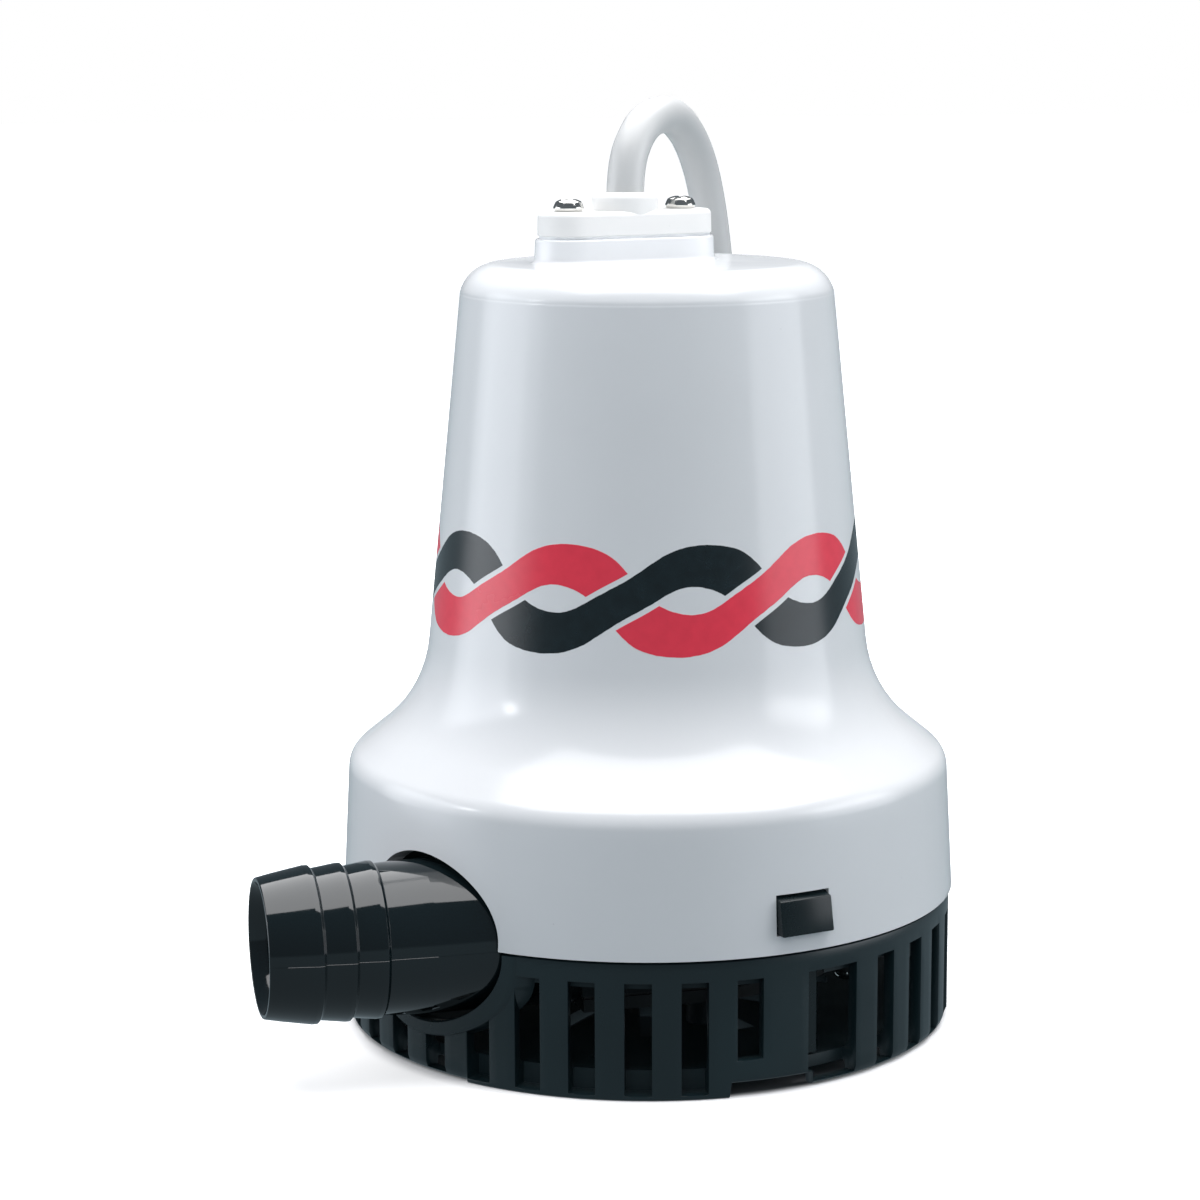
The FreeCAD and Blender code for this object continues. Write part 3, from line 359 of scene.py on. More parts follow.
M = {
    "white_plastic": bell_white(),
    "white_cap": plastic("cap_white", (0.748, 0.748, 0.738), 0.6, vary=0.015, speck=0.5),
    "black_gloss": plastic("black_gloss", (0.0040, 0.0090, 0.0110), 0.065, spread=0.015, vary=0.15, peel=0.000006, ior=1.55, dull_in=0.050),
    "tab_black": plastic("tab_black", (0.0050, 0.0110, 0.0130), 0.28, spread=0.04, vary=0.15, peel=0.000006, ior=1.42),
    "black_satin": plastic("black_satin", (0.0070, 0.0175, 0.0210), 0.33, spread=0.05, vary=0.15, peel=0.000010, fine=0.000004, dull_in=0.0575),
    "inner_black": plastic("inner_black", (0.010, 0.0135, 0.0145), 0.42, vary=0.15),
    "grey_plastic": plastic("grey_plastic", (0.42, 0.43, 0.44), 0.45, vary=0.06),
    "brown_board": board(),
    "seal_rubber": rubber("seal_rubber", (0.022, 0.022, 0.023)),
    "white_seal": rubber("white_seal", (0.80, 0.81, 0.83), 0.5),
    "stainless": metal("stainless", (0.74, 0.73, 0.70), 0.09, spread=0.02, scratch=0.000003),
    "zinc_steel": metal("zinc_steel", (0.62, 0.63, 0.66), 0.30, scale=300),
    "ferrite": speckled("ferrite", (0.045, 0.045, 0.048), (0.10, 0.10, 0.105), 900, 0.6),
    "lamination": laminations(),
    "copper": windings(),
    "commutator_copper": metal("commutator_copper", (0.80, 0.42, 0.24), 0.26, stretch=(1, 1, 8)),
    "bronze": speckled("sintered_bronze", (0.35, 0.20, 0.08), (0.62, 0.42, 0.20), 1500, 0.42, metallic=0.9),
    "carbon": speckled("carbon", (0.018, 0.018, 0.020), (0.05, 0.05, 0.052), 1200, 0.45, metallic=0.2),
    "spring_steel": metal("spring_steel", (0.66, 0.66, 0.66), 0.2, stretch=(1, 1, 10)),
    "cord_white": plastic("cord_jacket", (0.530, 0.536, 0.534), 0.38, vary=0.02, peel=0.00003),
    "wire_brown": plastic("wire_brown", (0.15, 0.055, 0.025), 0.38),
    "wire_black": plastic("wire_black", (0.014, 0.014, 0.015), 0.38),
    "tie_black": plastic("tie_black", (0.012, 0.012, 0.013), 0.34, fine=0.00001),
}
SLOT_OF = {s["node"]: s["material_slot"] for s in frame["record"]["subparts"]}
for name, obj in frame["nodes"].items():
    mat = M[SLOT_OF[name]] if SLOT_OF[name] in M else M["inner_black"]
    if name == "cap_gasket":
        mat = M["white_seal"]
    if not obj.material_slots:
        obj.data.materials.append(mat)
    for s in obj.material_slots:
        s.material = mat


# ------------------------------------------------------------------ mesh code
def make(name, verts, faces, slot, mat=None):
    me = bpy.data.meshes.new(name)
    me.from_pydata([(x * MM, y * MM, z * MM) for x, y, z in verts], [], faces)
    me.validate()
    bm = bmesh.new()
    bm.from_mesh(me)
    bmesh.ops.recalc_face_normals(bm, faces=bm.faces)
    bm.to_mesh(me)
    bm.free()
    obj = bpy.data.objects.new(name, me)
    scene.collection.objects.link(obj)
    me.materials.append(mat or M[slot])
    return obj


def bake_modifiers(obj):
    """The object's mesh with its modifiers applied."""
    deps = bpy.context.evaluated_depsgraph_get()
    deps.update()
    me = bpy.data.meshes.new_from_object(obj.evaluated_get(deps), depsgraph=deps)
    old = obj.data
    obj.modifiers.clear()
    obj.data = me
    if old.users == 0:
        bpy.data.meshes.remove(old)
    return obj


def bevel(obj, width, segments=3, angle=40):
    m = obj.modifiers.new("bevel", "BEVEL")
    m.width = width * MM
    m.segments = segments
    m.limit_method = "ANGLE"
    m.angle_limit = rad(angle)
    m.use_clamp_overlap = True
    return bake_modifiers(obj)


def boolean(obj, tool, how="DIFFERENCE"):
    m = obj.modifiers.new("bool", "BOOLEAN")
    m.operation = how
    m.solver = "EXACT"
    m.object = tool
    bake_modifiers(obj)
    bpy.data.objects.remove(tool)
    return obj


def join(*objs):
    """Several meshes in one, without welding them."""
    bm = bmesh.new()
    for o in objs:
        bm.from_mesh(o.data)
    bm.to_mesh(objs[0].data)
    bm.free()
    for o in objs[1:]:
        bpy.data.objects.remove(o)
    return objs[0]


def soft(obj, angle=35):
    for p in obj.data.polygons:
        p.use_smooth = True
    obj.data.set_sharp_from_angle(angle=rad(angle))
    return obj


def rounded(pts, step=15):
    """(x, y, radius) corners to a line of points, the corners as arcs."""
    out = []
    last = len(pts) - 1
    for i, p in enumerate(pts):
        x, y, r = (*p, 0)[:3]
        if not r or i in (0, last):
            out.append((x, y))
            continue
        c = Vector((x, y))
        ua = (Vector(pts[i - 1][:2]) - c).normalized()
        ub = (Vector(pts[i + 1][:2]) - c).normalized()
        ang = ua.angle(ub)
        reach = r / math.tan(ang / 2)
        mid = c + (ua + ub).normalized() * (r / math.sin(ang / 2))
        a, b = c + ua * reach - mid, c + ub * reach - mid
        a0 = math.atan2(a.y, a.x)
        d = (math.atan2(b.y, b.x) - a0 + math.pi) % (2 * math.pi) - math.pi
        n = max(2, math.ceil(abs(math.degrees(d)) / step))
        for k in range(n + 1):
            t = a0 + d * k / n
            out.append((mid.x + r * math.cos(t), mid.y + r * math.sin(t)))
    return out


def lathe(name, line, slot, turns, axis="z", at=(0, 0, 0), closed=False, angles=None, lift=None, mat=None):
    """A line of (radius, height) turned round an axis.  closed joins the
    line's ends; otherwise the ends are capped.  lift(column) adds to the
    radius of one column."""
    angles = angles or [360 * k / turns for k in range(turns)]
    verts, faces = [], []
    n, m = len(line), len(angles)
    for j, a in enumerate(angles):
        c, s = math.cos(rad(a)), math.sin(rad(a))
        more = lift(j, a) if lift else [0] * n
        for i, (r, h) in enumerate(line):
            r = r + (more[i] if lift else 0)
            if axis == "z":
                verts.append((at[0] + r * c, at[1] + r * s, at[2] + h))
            else:
                verts.append((at[0] - h, at[1] + r * c, at[2] + r * s))
    for j in range(m):
        k = (j + 1) % m
        for i in range(n if closed else n - 1):
            i2 = (i + 1) % n
            faces.append((j * n + i, k * n + i, k * n + i2, j * n + i2))
    if not closed:
        faces.append(tuple(j * n for j in range(m)))
        faces.append(tuple(j * n + n - 1 for j in range(m)))
    return make(name, verts, faces, slot, mat)


def loft(name, rings, slot, mat=None):
    """Closed rings of equal length, joined one to the next and capped."""
    n = len(rings[0])
    verts = [p for ring in rings for p in ring]
    faces = []
    for i in range(len(rings) - 1):
        for k in range(n):
            k2 = (k + 1) % n
            faces.append((i * n + k, i * n + k2, (i + 1) * n + k2, (i + 1) * n + k))
    faces.append(tuple(range(n)))
    faces.append(tuple((len(rings) - 1) * n + k for k in range(n)))
    return make(name, verts, faces, slot, mat)


def slab(name, plan, low, high, slot, mat=None):
    return loft(name, [[(x, y, low) for x, y in plan], [(x, y, high) for x, y in plan]], slot, mat)


def block(name, centre, sizes, slot, turn=0.0, mat=None):
    c, s = math.cos(rad(turn)), math.sin(rad(turn))
    a, b, h = sizes[0] / 2, sizes[1] / 2, sizes[2] / 2
    plan = [(-a, -b), (a, -b), (a, b), (-a, b)]
    plan = [(centre[0] + x * c - y * s, centre[1] + x * s + y * c) for x, y in plan]
    return slab(name, plan, centre[2] - h, centre[2] + h, slot, mat)


# ------------------------------------------------------------------ cord
# The route's points from the part, in metres.
COIL_AT = (0.02512, 0.12388)


def on_coil(angle, r, z):
    a = rad(angle - 16)
    return (COIL_AT[0] + r * math.cos(a), COIL_AT[1] + r * math.sin(a), z)


CORD = [
    (-0.0032, 0.00405, 0.1578),
    (-0.0032, 0.00405, 0.1654),
    (-0.00047, 0.00676, 0.172),
    (0.00425, 0.01147, 0.17589),
    (0.01164, 0.02028, 0.17589),
    (0.01896, 0.02983, 0.1689),
    (0.02351, 0.03518, 0.1569),
    (0.02634, 0.0378, 0.138),
    (0.02957, 0.04291, 0.112),
    (0.03343, 0.05127, 0.082),
    (0.03739, 0.06002, 0.052),
    (0.04042, 0.06623, 0.0351),
    (0.04335, 0.07173, 0.0236),
    (0.04772, 0.07974, 0.0141),
    (0.05335, 0.08957, 0.0072),
    (0.05939, 0.10084, 0.00365),
    (0.06376, 0.1128, 0.00365),
]
OUTER, INNER, TOP = 0.04025, 0.0328, 0.03655  # radii of the coil's turns
STEP = 22.5
WIDE = 1 / math.cos(rad(STEP / 2))  # the points stand this much outside the line


def ease(t):
    t = min(1.0, max(0.0, t))
    return t * t * (3 - 2 * t)


def coil_points():
    """Points of the coil: an outer turn and an inner turn on the ground,
    then one that lies in the groove between them, over where they cross."""
    pts = []
    a = STEP
    while a < 885 - 1:
        if a <= 330:
            r, z = OUTER + (INNER - OUTER) * ease((a - 258) / 72), 0.00365
        elif a <= 560:
            r, z = INNER, 0.00365
        elif a <= 640:
            t = ease((a - 560) / 80)
            r, z = INNER + (TOP - INNER) * t, 0.00365 + 0.0075 * t
        elif a <= 700:
            r, z = TOP, 0.01115
        elif a <= 745:
            r, z = TOP, 0.01115 - 0.001 * ease((a - 700) / 45)
        elif a <= 840:
            r, z = TOP, 0.01015
        else:
            t = ease((a - 840) / 45)
            r, z = TOP + 0.0022 * t, 0.01015 + 0.001 * t
        near_tie = abs((a - 78 + 180) % 360 - 180)
        z += 0.00075 * ease(1.5 - near_tie / 30)
        pts.append(on_coil(a, r * WIDE, z))
        a += STEP
    return pts


TAIL = [on_coil(*p) for p in ((178, 0.0439, 0.0115), (192, 0.0486, 0.0082), (206, 0.0514, 0.00365), (221, 0.0517, 0.00365))]
WIRE_A = [on_coil(*p) for p in ((219, 0.0529, 0.0034), (228, 0.0536, 0.0025), (237, 0.0548, 0.0011), (249, 0.057, 0.0011), (261, 0.0584, 0.0011), (273, 0.0576, 0.0011), (283, 0.055, 0.0011))]
WIRE_B = [on_coil(*p) for p in ((219, 0.0503, 0.0034), (229, 0.0496, 0.0025), (239, 0.0495, 0.0011), (252, 0.0508, 0.0011), (265, 0.0514, 0.0011), (277, 0.0504, 0.0011), (288, 0.0489, 0.0011))]


def line_of(name, points, radius, slot, fine=8):
    cu = bpy.data.curves.new(name, "CURVE")
    cu.dimensions = "3D"
    sp = cu.splines.new("NURBS")
    sp.points.add(len(points) - 1)
    for p, q in zip(sp.points, points):
        p.co = (*q, 1)
    sp.order_u = 3
    sp.use_endpoint_u = True
    sp.resolution_u = 10
    cu.bevel_depth = radius
    cu.bevel_resolution = fine
    cu.use_fill_caps = True
    obj = bpy.data.objects.new(name, cu)
    scene.collection.objects.link(obj)
    cu.materials.append(M[slot])
    return obj


def bare_end(name, points):
    """Stripped strands at a wire's end: a twisted bundle."""
    a, b = Vector(points[-2]) / MM, Vector(points[-1]) / MM
    d = (b - a).normalized()
    side = d.cross(Vector((0, 0, 1))).normalized()
    up = side.cross(d)
    rings = []
    for i in range(25):
        t = i / 24
        ring = []
        for k in range(42):
            ang = 2 * math.pi * k / 42
            lobe = 0.60 + 0.15 * abs(math.cos(3.5 * ang))
            lobe *= 1.0 if t < 0.9 else 1.0 - 2.2 * (t - 0.9)
            w = ang + t * 3.4
            p = b + d * (-0.8 + 7.4 * t) + side * (lobe * math.cos(w)) + up * (lobe * math.sin(w))
            ring.append((p.x, p.y, max(p.z, 0.05)))
        rings.append(ring)
    return soft(loft(name, rings, "copper", M["commutator_copper"]), 50)


# the strap that holds the coil together
def cord_tie():
    ang = rad(62)
    low, high, g = 3.65 + 0.72, 10.15 + 0.72, 0.12
    cx, cy = COIL_AT[0] / MM, COIL_AT[1] / MM
    spots = [(OUTER / MM, low), (TOP / MM, high), (INNER / MM, low)]
    line = []
    n = len(spots)
    for inner in (True, False):
        off = 3.65 + g + (0.0 if inner else 0.62)
        one = []
        for i in range(n):
            p, c, q = Vector(spots[i - 1]), Vector(spots[i]), Vector(spots[(i + 1) % n])
            # outward normals of the two straight runs that meet on this strand
            n1 = Vector(((c - p).y, -(c - p).x)).normalized()
            n2 = Vector(((q - c).y, -(q - c).x)).normalized()
            mid = (Vector(spots[0]) + Vector(spots[1]) + Vector(spots[2])) / 3
            if n1.dot(c - mid) < 0:
                n1 = -n1
            if n2.dot(c - mid) < 0:
                n2 = -n2
            a0, a1 = math.atan2(n1.y, n1.x), math.atan2(n2.y, n2.x)
            d = (a1 - a0 + math.pi) % (2 * math.pi) - math.pi
            for k in range(9):
                t = a0 + d * k / 8
                one.append((c.x + off * math.cos(t), c.y + off * math.sin(t)))
        line.append(one)
    verts, faces = [], []
    m = len(line[0])
    rows = []
    for half, (inner, outer) in ((-1.5, (0, 1)), (1.5, (0, 1))):
        for which in (inner, outer):
            rows.append([(r, z, half) for r, z in line[which]])
    order = [rows[0], rows[1], rows[3], rows[2]]
    for row in order:
        for r, z, h in row:
            verts.append((cx + r * math.cos(ang) - h * math.sin(ang), cy + r * math.sin(ang) + h * math.cos(ang), max(z, 0.02)))
    for i in range(4):
        i2 = (i + 1) % 4
        for k in range(m):
            k2 = (k + 1) % m
            faces.append((i * m + k, i * m + k2, i2 * m + k2, i2 * m + k))
    strap = bevel(make("tie_strap", verts, faces, "tie_black"), 0.12, 2)
    r, z = 42.9, 9.4
    head = block("tie_head", (cx + r * math.cos(ang), cy + r * math.sin(ang), z), (3.6, 4.6, 4.0), "tie_black", 62)
    head = bevel(head, 0.5, 3)
    r = 44.6
    end = block("tie_end", (cx + (r + 0.6) * math.cos(ang), cy + (r + 0.6) * math.sin(ang), z + 0.4), (3.0, 2.8, 0.9), "tie_black", 62)
    end = bevel(end, 0.15, 2)
    whole = soft(join(strap, head, end))
    whole.name = "cord_tie_strap"
    return whole


cord = line_of("supply_cord", CORD + coil_points() + TAIL, 0.00365, "cord_white", 10)
tie = cord_tie()
wire_a = line_of("lead_brown", WIRE_A, 0.0011, "wire_brown")
wire_b = line_of("lead_black", WIRE_B, 0.0011, "wire_black")
tip_a, tip_b = bare_end("lead_brown_strands", WIRE_A), bare_end("lead_black_strands", WIRE_B)
for piece in (cord, tie, wire_a, wire_b, tip_a, tip_b):
    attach(piece, "pump")
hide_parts("power_cord", "power_cord_coil", "power_cord_tail")
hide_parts("cord_tie")
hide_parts("lead_wire_positive")
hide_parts("lead_wire_negative")

# ------------------------------------------------------------------ housing
SEAM = 26.4
OUT_Y, OUT_Z = -29.05, 26.2
HOLE, HOLE_OFF = 15.05, 0.95  # the outlet's hole: end radius, and its end centres above and below the pipe axis
TAB_AT = (12.3, 192.3)


def skirt_out(z):
    return 60.25 + (58.85 - 60.25) * (z - SEAM) / (52.4 - SEAM)


def skirt_in(z):
    return 57.45 + (56.15 - 57.45) * (z - SEAM) / (50.5 - SEAM)


def housing():
    lower = [SEAM, 27.2, 28.4, 29.8, 31.5, 33.5, 35.5, 37.4, 39.2, 41.0, 43.0, 45.0, 47.0]
    outer = rounded([(60.25, SEAM, 0), (58.85, 52.4, 5.0), (43.95, 64.5, 26.0), (36.116, 142.1, 0)], 6)[1:]
    # the mould's fine line round the foot of the crown
    outer += [(36.076, 142.49), (36.028, 142.6)]
    outer += rounded([(36.065, 142.6, 0), (34.565, 148.2, 7.4), (1.5, 148.2, 0)], 6)[1:]
    inner = rounded([(57.45, SEAM, 0), (56.15, 50.5, 2.5), (40.55, 62.3, 26.0), (32.7, 145.4, 3.0), (1.5, 145.4, 0)], 10)[1:]

    def filled(line):
        """Long straight stretches get rows of their own."""
        out = [line[0]]
        for p, q in zip(line, line[1:]):
            n = max(1, int(math.hypot(q[0] - p[0], q[1] - p[1]) / 9))
            for k in range(1, n + 1):
                out.append((p[0] + (q[0] - p[0]) * k / n, p[1] + (q[1] - p[1]) * k / n))
        return out

    outer, inner = filled(outer), filled(inner)
    # columns: azimuth outside and inside, and the angle round the pipe's hole
    w_out, w_in = math.degrees(math.asin(5.6 / 60.0)), math.degrees(math.asin(5.6 / 57.2))
    win = [(TAB_AT[1] - 90) % 360, (TAB_AT[0] - 90) % 360]  # 102.3 and 282.3
    spots = [(OUT_Y + HOLE, SEAM)]
    N = 56
    for k in range(N + 1):
        al = rad(180 * k / N)
        spots.append((OUT_Y + (HOLE - 0.02) * math.cos(al), OUT_Z + HOLE_OFF + HOLE * math.sin(al)))
    spots.append((OUT_Y - HOLE, SEAM))
    notch = []
    for y, z in spots:
        notch.append((180 - math.degrees(math.asin(y / skirt_out(z))), 180 - math.degrees(math.asin(y / skirt_in(z))), z))
    cols = []

    def plain(t0, t1, o0, o1, step=2.0, flag="", last=False):
        n = max(1, math.ceil((t1 - t0) / step))
        for k in range(n + (1 if last else 0)):
            t = t0 + (t1 - t0) * k / n
            cols.append((t, t + o0 + (o1 - o0) * k / n, SEAM, flag))

    dw = w_in - w_out
    plain(win[0] - w_out, win[0] + w_out, -dw, dw, 2.2, "w")
    plain(win[0] + w_out, notch[0][0], dw, notch[0][1] - notch[0][0])
    for t, i, z in notch[:-1]:
        cols.append((t, i, z, ""))
    plain(notch[-1][0], win[1] - w_out, notch[-1][1] - notch[-1][0], -dw)
    plain(win[1] - w_out, win[1] + w_out, -dw, dw, 2.2, "w")
    plain(win[1] + w_out, win[0] - w_out + 360, dw, -dw)
    n_out, n_in = len(lower) + len(outer), len(lower) + len(inner)
    verts, faces = [], []
    for to, ti, zb, flag in cols:
        for which in (0, 1):
            t = rad((to, ti)[which])
            c, s = math.cos(t), math.sin(t)
            for z in lower:
                z = zb + (z - SEAM) * (47.0 - zb) / (47.0 - SEAM)
                r = (skirt_out, skirt_in)[which](z)
                verts.append((r * c, r * s, z))
            for r, z in (outer, inner)[which]:
                verts.append((r * c, r * s, z))
    size = n_out + n_in
    m = len(cols)
    w0, w1 = lower.index(29.8), lower.index(37.4)

    def O(j, i):
        return (j % m) * size + i

    def I(j, i):
        return (j % m) * size + n_out + i

    for j in range(m):
        open_col = cols[j][3] == "w"
        for i in range(n_out - 1):
            if open_col and w0 <= i < w1:
                continue
            faces.append((O(j, i), O(j + 1, i), O(j + 1, i + 1), O(j, i + 1)))
        for i in range(n_in - 1):
            if open_col and w0 <= i < w1:
                continue
            faces.append((I(j, i), I(j, i + 1), I(j + 1, i + 1), I(j + 1, i)))
        faces.append((O(j, 0), I(j, 0), I(j + 1, 0), O(j + 1, 0)))
        if open_col:
            faces.append((O(j, w0), I(j, w0), I(j + 1, w0), O(j + 1, w0)))
            faces.append((O(j, w1), O(j + 1, w1), I(j + 1, w1), I(j, w1)))
            if cols[j - 1][3] != "w":
                for i in range(w0, w1):
                    faces.append((O(j, i), O(j, i + 1), I(j, i + 1), I(j, i)))
            if cols[(j + 1) % m][3] != "w":
                for i in range(w0, w1):
                    faces.append((O(j + 1, i), I(j + 1, i), I(j + 1, i + 1), O(j + 1, i + 1)))
    faces.append(tuple(O(j, n_out - 1) for j in range(m)))
    faces.append(tuple(I(j, n_in - 1) for j in reversed(range(m))))
    shell = make("housing", verts, faces, "white_plastic")
    return bevel(shell, 0.42, 3, 42)


CAP_AT, CAP_TURN, CAP_HALF = (-3.2, 4.05), 13.3, 11.7


def cap_ring(r, z, n=28):
    c, s = math.cos(rad(CAP_TURN)), math.sin(rad(CAP_TURN))
    pts = []
    for k in range(n + 1):
        a = rad(-90 + 180 * k / n)
        pts.append((CAP_HALF + r * math.cos(a), r * math.sin(a)))
    for k in range(1, 6):
        pts.append((CAP_HALF - 2 * CAP_HALF * k / 6, r))
    for k in range(n + 1):
        a = rad(90 + 180 * k / n)
        pts.append((-CAP_HALF + r * math.cos(a), r * math.sin(a)))
    for k in range(1, 6):
        pts.append((-CAP_HALF + 2 * CAP_HALF * k / 6, -r))
    return [(CAP_AT[0] + x * c - y * s, CAP_AT[1] + x * s + y * c, z) for x, y in pts]


shell = housing()
foot = rounded([(9.0, 147.4, 0), (9.0, 148.18, 0), (7.22, 148.22, 1.1), (7.0, 152.9, 0.5), (3.0, 152.9, 0)], 12)
pedestal = loft("pedestal", [cap_ring(r, z) for r, z in foot], "white_plastic")
shell = soft(join(shell, pedestal))
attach(shell, "pump")
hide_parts("motor_housing")

# ------------------------------------------------------------------ cable cap
line = rounded([(3.0, 153.4, 0), (6.62, 153.4, 0.28), (6.5, 158.0, 1.05), (3.0, 158.02, 0)], 12)
cap = loft("cap_plate", [cap_ring(r, z) for r, z in line], "white_cap")
boss = rounded([(3.76, 153.6, 0), (3.76, 161.5, 0.25), (6.4, 161.5, 1.4), (6.46, 157.3, 0.2), (5.6, 157.1, 0), (5.6, 153.6, 0)], 12)
boss_obj = lathe("cap_boss", boss, "white_cap", 96, at=(*CAP_AT, 0), closed=True)
hole = lathe("hole", [(3.755, 150), (3.755, 160)], "white_cap", 96, at=(*CAP_AT, 0))
cap = boolean(cap, hole)
cap = soft(join(cap, boss_obj))
cap.name = "cable_cap_piece"
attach(cap, "pump")
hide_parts("cable_cap")


# ------------------------------------------------------------------ screws
def pan_head(name, x, y, seat, turn):
    line = rounded([(0.35, seat + 2.46, 0), (1.45, seat + 2.38, 1.6), (2.48, seat + 1.92, 0.62), (3.03, seat + 0.72, 0.5), (2.62, seat, 0), (1.5, seat, 0), (1.5, seat - 8.2, 0), (0.4, seat - 8.4, 0)], 10)
    body = lathe(name, line, "stainless", 72, at=(x, y, 0))
    for a in (turn, turn + 90):
        c, s = math.cos(rad(a)), math.sin(rad(a))
        rings = []
        for h, long, wide in ((seat + 3.2, 2.05, 0.62), (seat + 1.6, 1.75, 0.50), (seat + 0.75, 0.70, 0.30)):
            plan = [(-long, -wide), (long, -wide), (long, wide), (-long, wide)]
            rings.append([(x + u * c - v * s, y + u * s + v * c, h) for u, v in plan])
        body = boolean(body, loft("cross", rings, "stainless"))
    return body


heads = []
for side, turn in ((-1, 20), (1, 63)):
    c, s = math.cos(rad(CAP_TURN)), math.sin(rad(CAP_TURN))
    heads.append(pan_head("cap_screw_%s" % ("left" if side < 0 else "right"), CAP_AT[0] + side * 12.3 * c, CAP_AT[1] + side * 12.3 * s, 158.0, turn))
screws = soft(join(*heads), 30)
screws.name = "cap_screw_pair"
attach(screws, "pump")
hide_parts("cap_screws")


# ------------------------------------------------------------------ volute and pipe
def scroll_plan(extra, end):
    q, r3 = 1.5, 37.9 + extra
    pts = []

    def arc(cx, cy, r, a0, a1, n=18):
        for k in range(n + 1):
            a = rad(a0 + (a1 - a0) * k / n)
            pts.append((cx + r * math.cos(a), cy + r * math.sin(a)))

    arc(-q, -q, r3, -90, 0)
    arc(q, -q, r3 - 3, 5, 90, 17)
    arc(q, q, r3 - 6, 95, 180, 17)
    stop = 180 + math.degrees(math.acos((end - q) / (r3 - 9)))
    arc(-q, q, r3 - 9, 185, stop, 10)
    pts.append((-end, -q - r3))
    return pts


def columns():
    spots = []
    for angle in (-40, 50, 140, 205):
        a = rad(angle)
        q, r, step = 1.5, 37.9, 3.0
        k = int(((angle + 90) % 360) // 90)
        cx, cy = [(-q, -q), (q, -q), (q, q), (-q, q)][k]
        reach = r - step * k + cx * math.cos(a) + cy * math.sin(a) + 4.9
        spots.append((reach * math.cos(a), reach * math.sin(a)))
    return spots


def volute():
    body = slab("volute", scroll_plan(2.6, 24.6), 15.8, 39.6, "black_gloss")
    for k, (x, y) in enumerate(columns()):
        post = lathe("post", [(4.5, 15.8 + 0.01 * k), (4.5, 43.99)], "black_gloss", 32, at=(x, y, 0))
        body = boolean(body, post, "UNION")
    body = boolean(body, slab("cavity", scroll_plan(0, 22.0), 14.0, 36.6, "black_gloss"))
    body = boolean(body, lathe("throat", [(10.0, 17.0), (10.0, 30.0)], "black_gloss", 64, axis="x", at=(0, OUT_Y, OUT_Z)))
    body = boolean(body, lathe("shaft_hole", [(9.8, 34.0), (9.8, 45.0)], "black_gloss", 48))
    line = [
        (24.3, 10.03, 0), (25.0, 10.03, 0), (34.9, 11.0, 0), (79.6, 11.0, 1.5), (82.6, 12.3, 0.2), (82.6, 13.0, 0.25),
        (79.4, 13.66, 0.6), (73.8, 14.65, 0.14), (72.9, 14.65, 0.10), (72.35, 14.0, 0.12), (67.7, 14.65, 0.14), (66.9, 14.65, 0.10), (66.35, 14.0, 0.12),
        (61.9, 14.65, 0.14), (61.1, 14.65, 0.10), (60.55, 14.1, 0.15), (52.0, 14.45, 3.0), (24.3, 14.45, 0),
    ]
    line = [(r, x) for x, r in rounded(line, 18)]
    # the mould's parting line: a fine ridge in front and behind
    angles = []
    for k in range(144):
        a = 2.5 * k
        if k in (0, 72):
            angles += [a - 0.55, a - 0.22, a, a + 0.22, a + 0.55]
        else:
            angles.append(a)
    outside = [i for i, (r, x) in enumerate(line) if r > 12.5 and 30 < x < 82.3]

    def ridge(j, a):
        more = [0.0] * len(line)
        if min(abs(a), abs(a - 180)) < 0.1:
            for i in outside:
                more[i] = 0.055
        return more

    pipe = lathe("pipe", line, "black_gloss", 0, axis="x", at=(0, OUT_Y, OUT_Z), closed=True, angles=angles, lift=ridge)
    body = boolean(body, pipe, "UNION")
    body.name = "volute_and_outlet"
    return soft(body, 32)


casing = volute()
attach(casing, "pump")
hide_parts("volute_casing")

# ------------------------------------------------------------------ strainer base
FEET = (-25.75, 94.25, 214.25)
FOOT = 24.75  # half of a foot's arc


